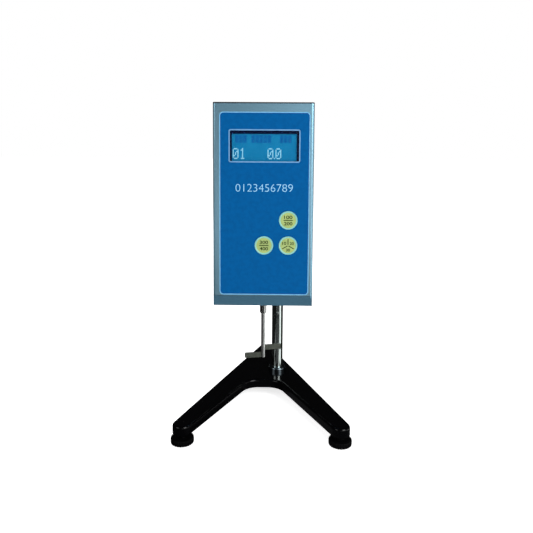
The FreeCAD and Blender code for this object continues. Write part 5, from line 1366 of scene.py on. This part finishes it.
@dataclass
class Studio:
    """Camera, lamps, white background and dark flags that give metal and enamel their dark bands.

    Lengths are in metres, turns of the camera in radians, sectors of the floor in degrees.
    """

    eye: tuple[float, float, float] = (0.016152, -0.867923, 0.400724)
    pitch: float = 0.098
    yaw: float = -0.015
    roll: float = 0.006
    focal_pixels: float = 570.259
    frame_pixels: float = 533.0
    sensor: float = 36.0
    shift: float = -0.13
    nearest: float = 0.01
    farthest: float = 100.0
    floor_half: float = 12.0
    floor_tone: float = 0.85
    floor_roughness: float = 0.9
    floor_glow: float = 0.75
    open_light: float = 0.5
    seen_light: float = 0.5
    lamps: tuple[Lamp, ...] = (
        Lamp("key_lamp", (1.1, -1.3, 1.1), (0.0, 0.0, 0.25), (0.9, 1.2), 28.0),
        Lamp("fill_lamp", (-1.3, -1.1, 0.9), (0.0, 0.0, 0.25), (0.9, 0.9), 7.0),
        Lamp("top_lamp", (0.0, 0.2, 1.9), (0.0, 0.0, 0.2), (1.0, 1.0), 8.0, False),
        Lamp("rear_lamp", (-0.6, 1.6, 1.2), (0.0, 0.0, 0.25), (0.9, 0.9), 20.0, False),
    )
    black: float = 0.012
    dusk: float = 0.04
    dim: float = 0.075
    card_blue: float = 1.04
    flag_top: float = 2.4
    left_wall: tuple[tuple[float, float], ...] = ((-1.6, -2.4), (-1.6, 2.4))
    back_wall: tuple[tuple[float, float], ...] = ((-1.6, 2.6), (1.6, 2.6))
    right_wall: tuple[tuple[float, float], ...] = ((1.6, 0.1), (1.6, 2.4))
    front_wall: tuple[tuple[float, float], ...] = ((-1.6, -2.6), (0.1, -2.6))
    ceiling: float = 2.6
    ceiling_half: float = 7.0
    fan_reach: float = 1.5
    fan_lift: float = 0.0006
    fan_steps: int = 24
    front_fan: tuple[float, float] = (-24.0, 46.0)
    back_fan: tuple[float, float] = (76.0, 336.0)

    def build(self) -> None:
        """Everything round the object."""
        self.camera()
        self.floor()
        self.world()
        for lamp in self.lamps:
            lamp.build()
        self.flags()

    def camera(self) -> None:
        """Camera with the photograph's place, turn, lens and shift."""
        cy, sy, cp, sp = math.cos(self.yaw), math.sin(self.yaw), math.cos(self.pitch), math.sin(self.pitch)
        forward, right = Vector((sy * cp, cy * cp, -sp)), Vector((cy, -sy, 0.0))
        up = right.cross(forward)
        cr, sr = math.cos(self.roll), math.sin(self.roll)
        axes = (cr * right + sr * up, -sr * right + cr * up, -forward)
        data = bpy.data.cameras.new("camera")
        data.sensor_width = self.sensor
        data.lens = self.focal_pixels / self.frame_pixels * self.sensor
        data.shift_y = self.shift
        data.clip_start = self.nearest
        data.clip_end = self.farthest
        camera = bpy.data.objects.new("camera", data)
        camera.matrix_world = Matrix.Translation(self.eye) @ Matrix(axes).transposed().to_4x4()
        bpy.context.scene.collection.objects.link(camera)
        bpy.context.scene.camera = camera

    def sheet(self, name: str, points: list[tuple], material: bpy.types.Material) -> bpy.types.Object:
        """One flat card of the stage.

        Args:
            name: its name.
            points: its corners.
            material: its material.
        Returns:
            The object.
        """
        mesh = bpy.data.meshes.new(name)
        mesh.from_pydata(points, [], [tuple(range(len(points)))])
        mesh.materials.append(material)
        card = bpy.data.objects.new(name, mesh)
        bpy.context.scene.collection.objects.link(card)
        return card

    def level_card(self, half: float, level: float) -> list[tuple]:
        """Level square about the Z axis.

        Args:
            half: half its side.
            level: its height.
        Returns:
            Its corners.
        """
        return [(-half, -half, level), (half, -half, level), (half, half, level), (-half, half, level)]

    def floor(self) -> None:
        """Pale floor that camera, mirror and glass rays see as white, less the object's shadow."""
        material = bpy.data.materials.new("pale_floor")
        material.use_nodes = True
        wire = Wire(material.node_tree)
        sockets = material.node_tree.nodes["Principled BSDF"].inputs
        sockets["Base Color"].default_value = (self.floor_tone,) * 3 + (1.0,)
        sockets["Roughness"].default_value = self.floor_roughness
        sockets["Specular IOR Level"].default_value = 0.0
        sockets["Emission Color"].default_value = (1.0, 1.0, 1.0, 1.0)
        wire.join(wire.sum("MULTIPLY", wire.seen(), self.floor_glow), sockets["Emission Strength"])
        self.sheet("floor", self.level_card(self.floor_half, 0.0), material)

    def world(self) -> None:
        """White to camera, mirror and glass rays, soft light to the rest."""
        world = bpy.data.worlds.new("studio")
        bpy.context.scene.world = world
        world.use_nodes = True
        wire = Wire(world.node_tree)
        extra = wire.sum("MULTIPLY", wire.seen(), self.seen_light)
        sockets = world.node_tree.nodes["Background"].inputs
        sockets["Color"].default_value = (1.0, 1.0, 1.0, 1.0)
        wire.join(wire.sum("ADD", extra, self.open_light), sockets["Strength"])

    def card(self, level: float) -> bpy.types.Material:
        """Even dark card.

        Args:
            level: how bright it is.
        Returns:
            Its material.
        """
        material = bpy.data.materials.new(f"flag_{level:g}")
        material.use_nodes = True
        sockets = material.node_tree.nodes["Principled BSDF"].inputs
        sockets["Base Color"].default_value = (0.0, 0.0, 0.0, 1.0)
        sockets["Specular IOR Level"].default_value = 0.0
        sockets["Emission Color"].default_value = (level, level, level * self.card_blue, 1.0)
        sockets["Emission Strength"].default_value = 1.0
        return material

    def wall(self, start: tuple[float, float], end: tuple[float, float]) -> list[tuple]:
        """Upright card between two places on the floor.

        Args:
            start, end: the places (x, y).
        Returns:
            Its corners.
        """
        top = self.flag_top
        return [(*start, 0), (*end, 0), (*end, top), (*start, top)]

    def fan(self, start: float, end: float) -> list[tuple]:
        """Sector on the floor round the column's foot.

        Args:
            start, end: its angles from the front towards the right.
        Returns:
            Its corners.
        """
        low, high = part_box("column")
        centre = np.array([(low.x + high.x) / 2, (low.y + high.y) / 2])
        angle = np.radians(np.linspace(start, end, self.fan_steps))
        rim = centre + self.fan_reach * np.stack([np.sin(angle), -np.cos(angle)], -1)
        return [(float(x), float(y), self.fan_lift) for x, y in np.concatenate([centre[None], rim]).tolist()]

    def flags(self) -> None:
        """Cards that only mirror rays meet: overhead, left, behind, right, in front, and on the floor."""
        black, dusk, dim = self.card(self.black), self.card(self.dusk), self.card(self.dim)
        cards = (
            ("flag_overhead", self.level_card(self.ceiling_half, self.ceiling), black),
            ("flag_left", self.wall(*self.left_wall), black),
            ("flag_behind", self.wall(*self.back_wall), black),
            ("flag_right", self.wall(*self.right_wall), black),
            ("flag_front", self.wall(*self.front_wall), dusk),
            ("flag_floor_front", self.fan(*self.front_fan), dim),
            ("flag_floor_back", self.fan(*self.back_fan), black),
        )
        for name, points, material in cards:
            card = self.sheet(name, points, material)
            card.visible_camera = False
            card.visible_diffuse = False
            card.visible_shadow = False
            card.visible_transmission = False


def main() -> None:
    """Dress the solids, build each sub-assembly and set the stage."""
    logging.basicConfig(level=logging.INFO, format="%(message)s")
    bpy.context.scene.view_settings.view_transform = "Standard"
    Studio().build()
    SolidFinishes().dress()
    for place in ("left", "right", "rear"):
        LevellingFoot(place).build()
    Lift().build()
    Screws().build()
    PanelPrintAndShade().build()
    Display().build()
    KeyMarks("key_upper", ("100", "200")).build()
    KeyMarks("key_left", ("300", "400")).build()
    KeyMarks("key_right", ("10", "20", "30")).build()
    SpiritLevel().build()
    HeadSeams().build()
    RearFittings().build()


if __name__ == "__main__":
    main()
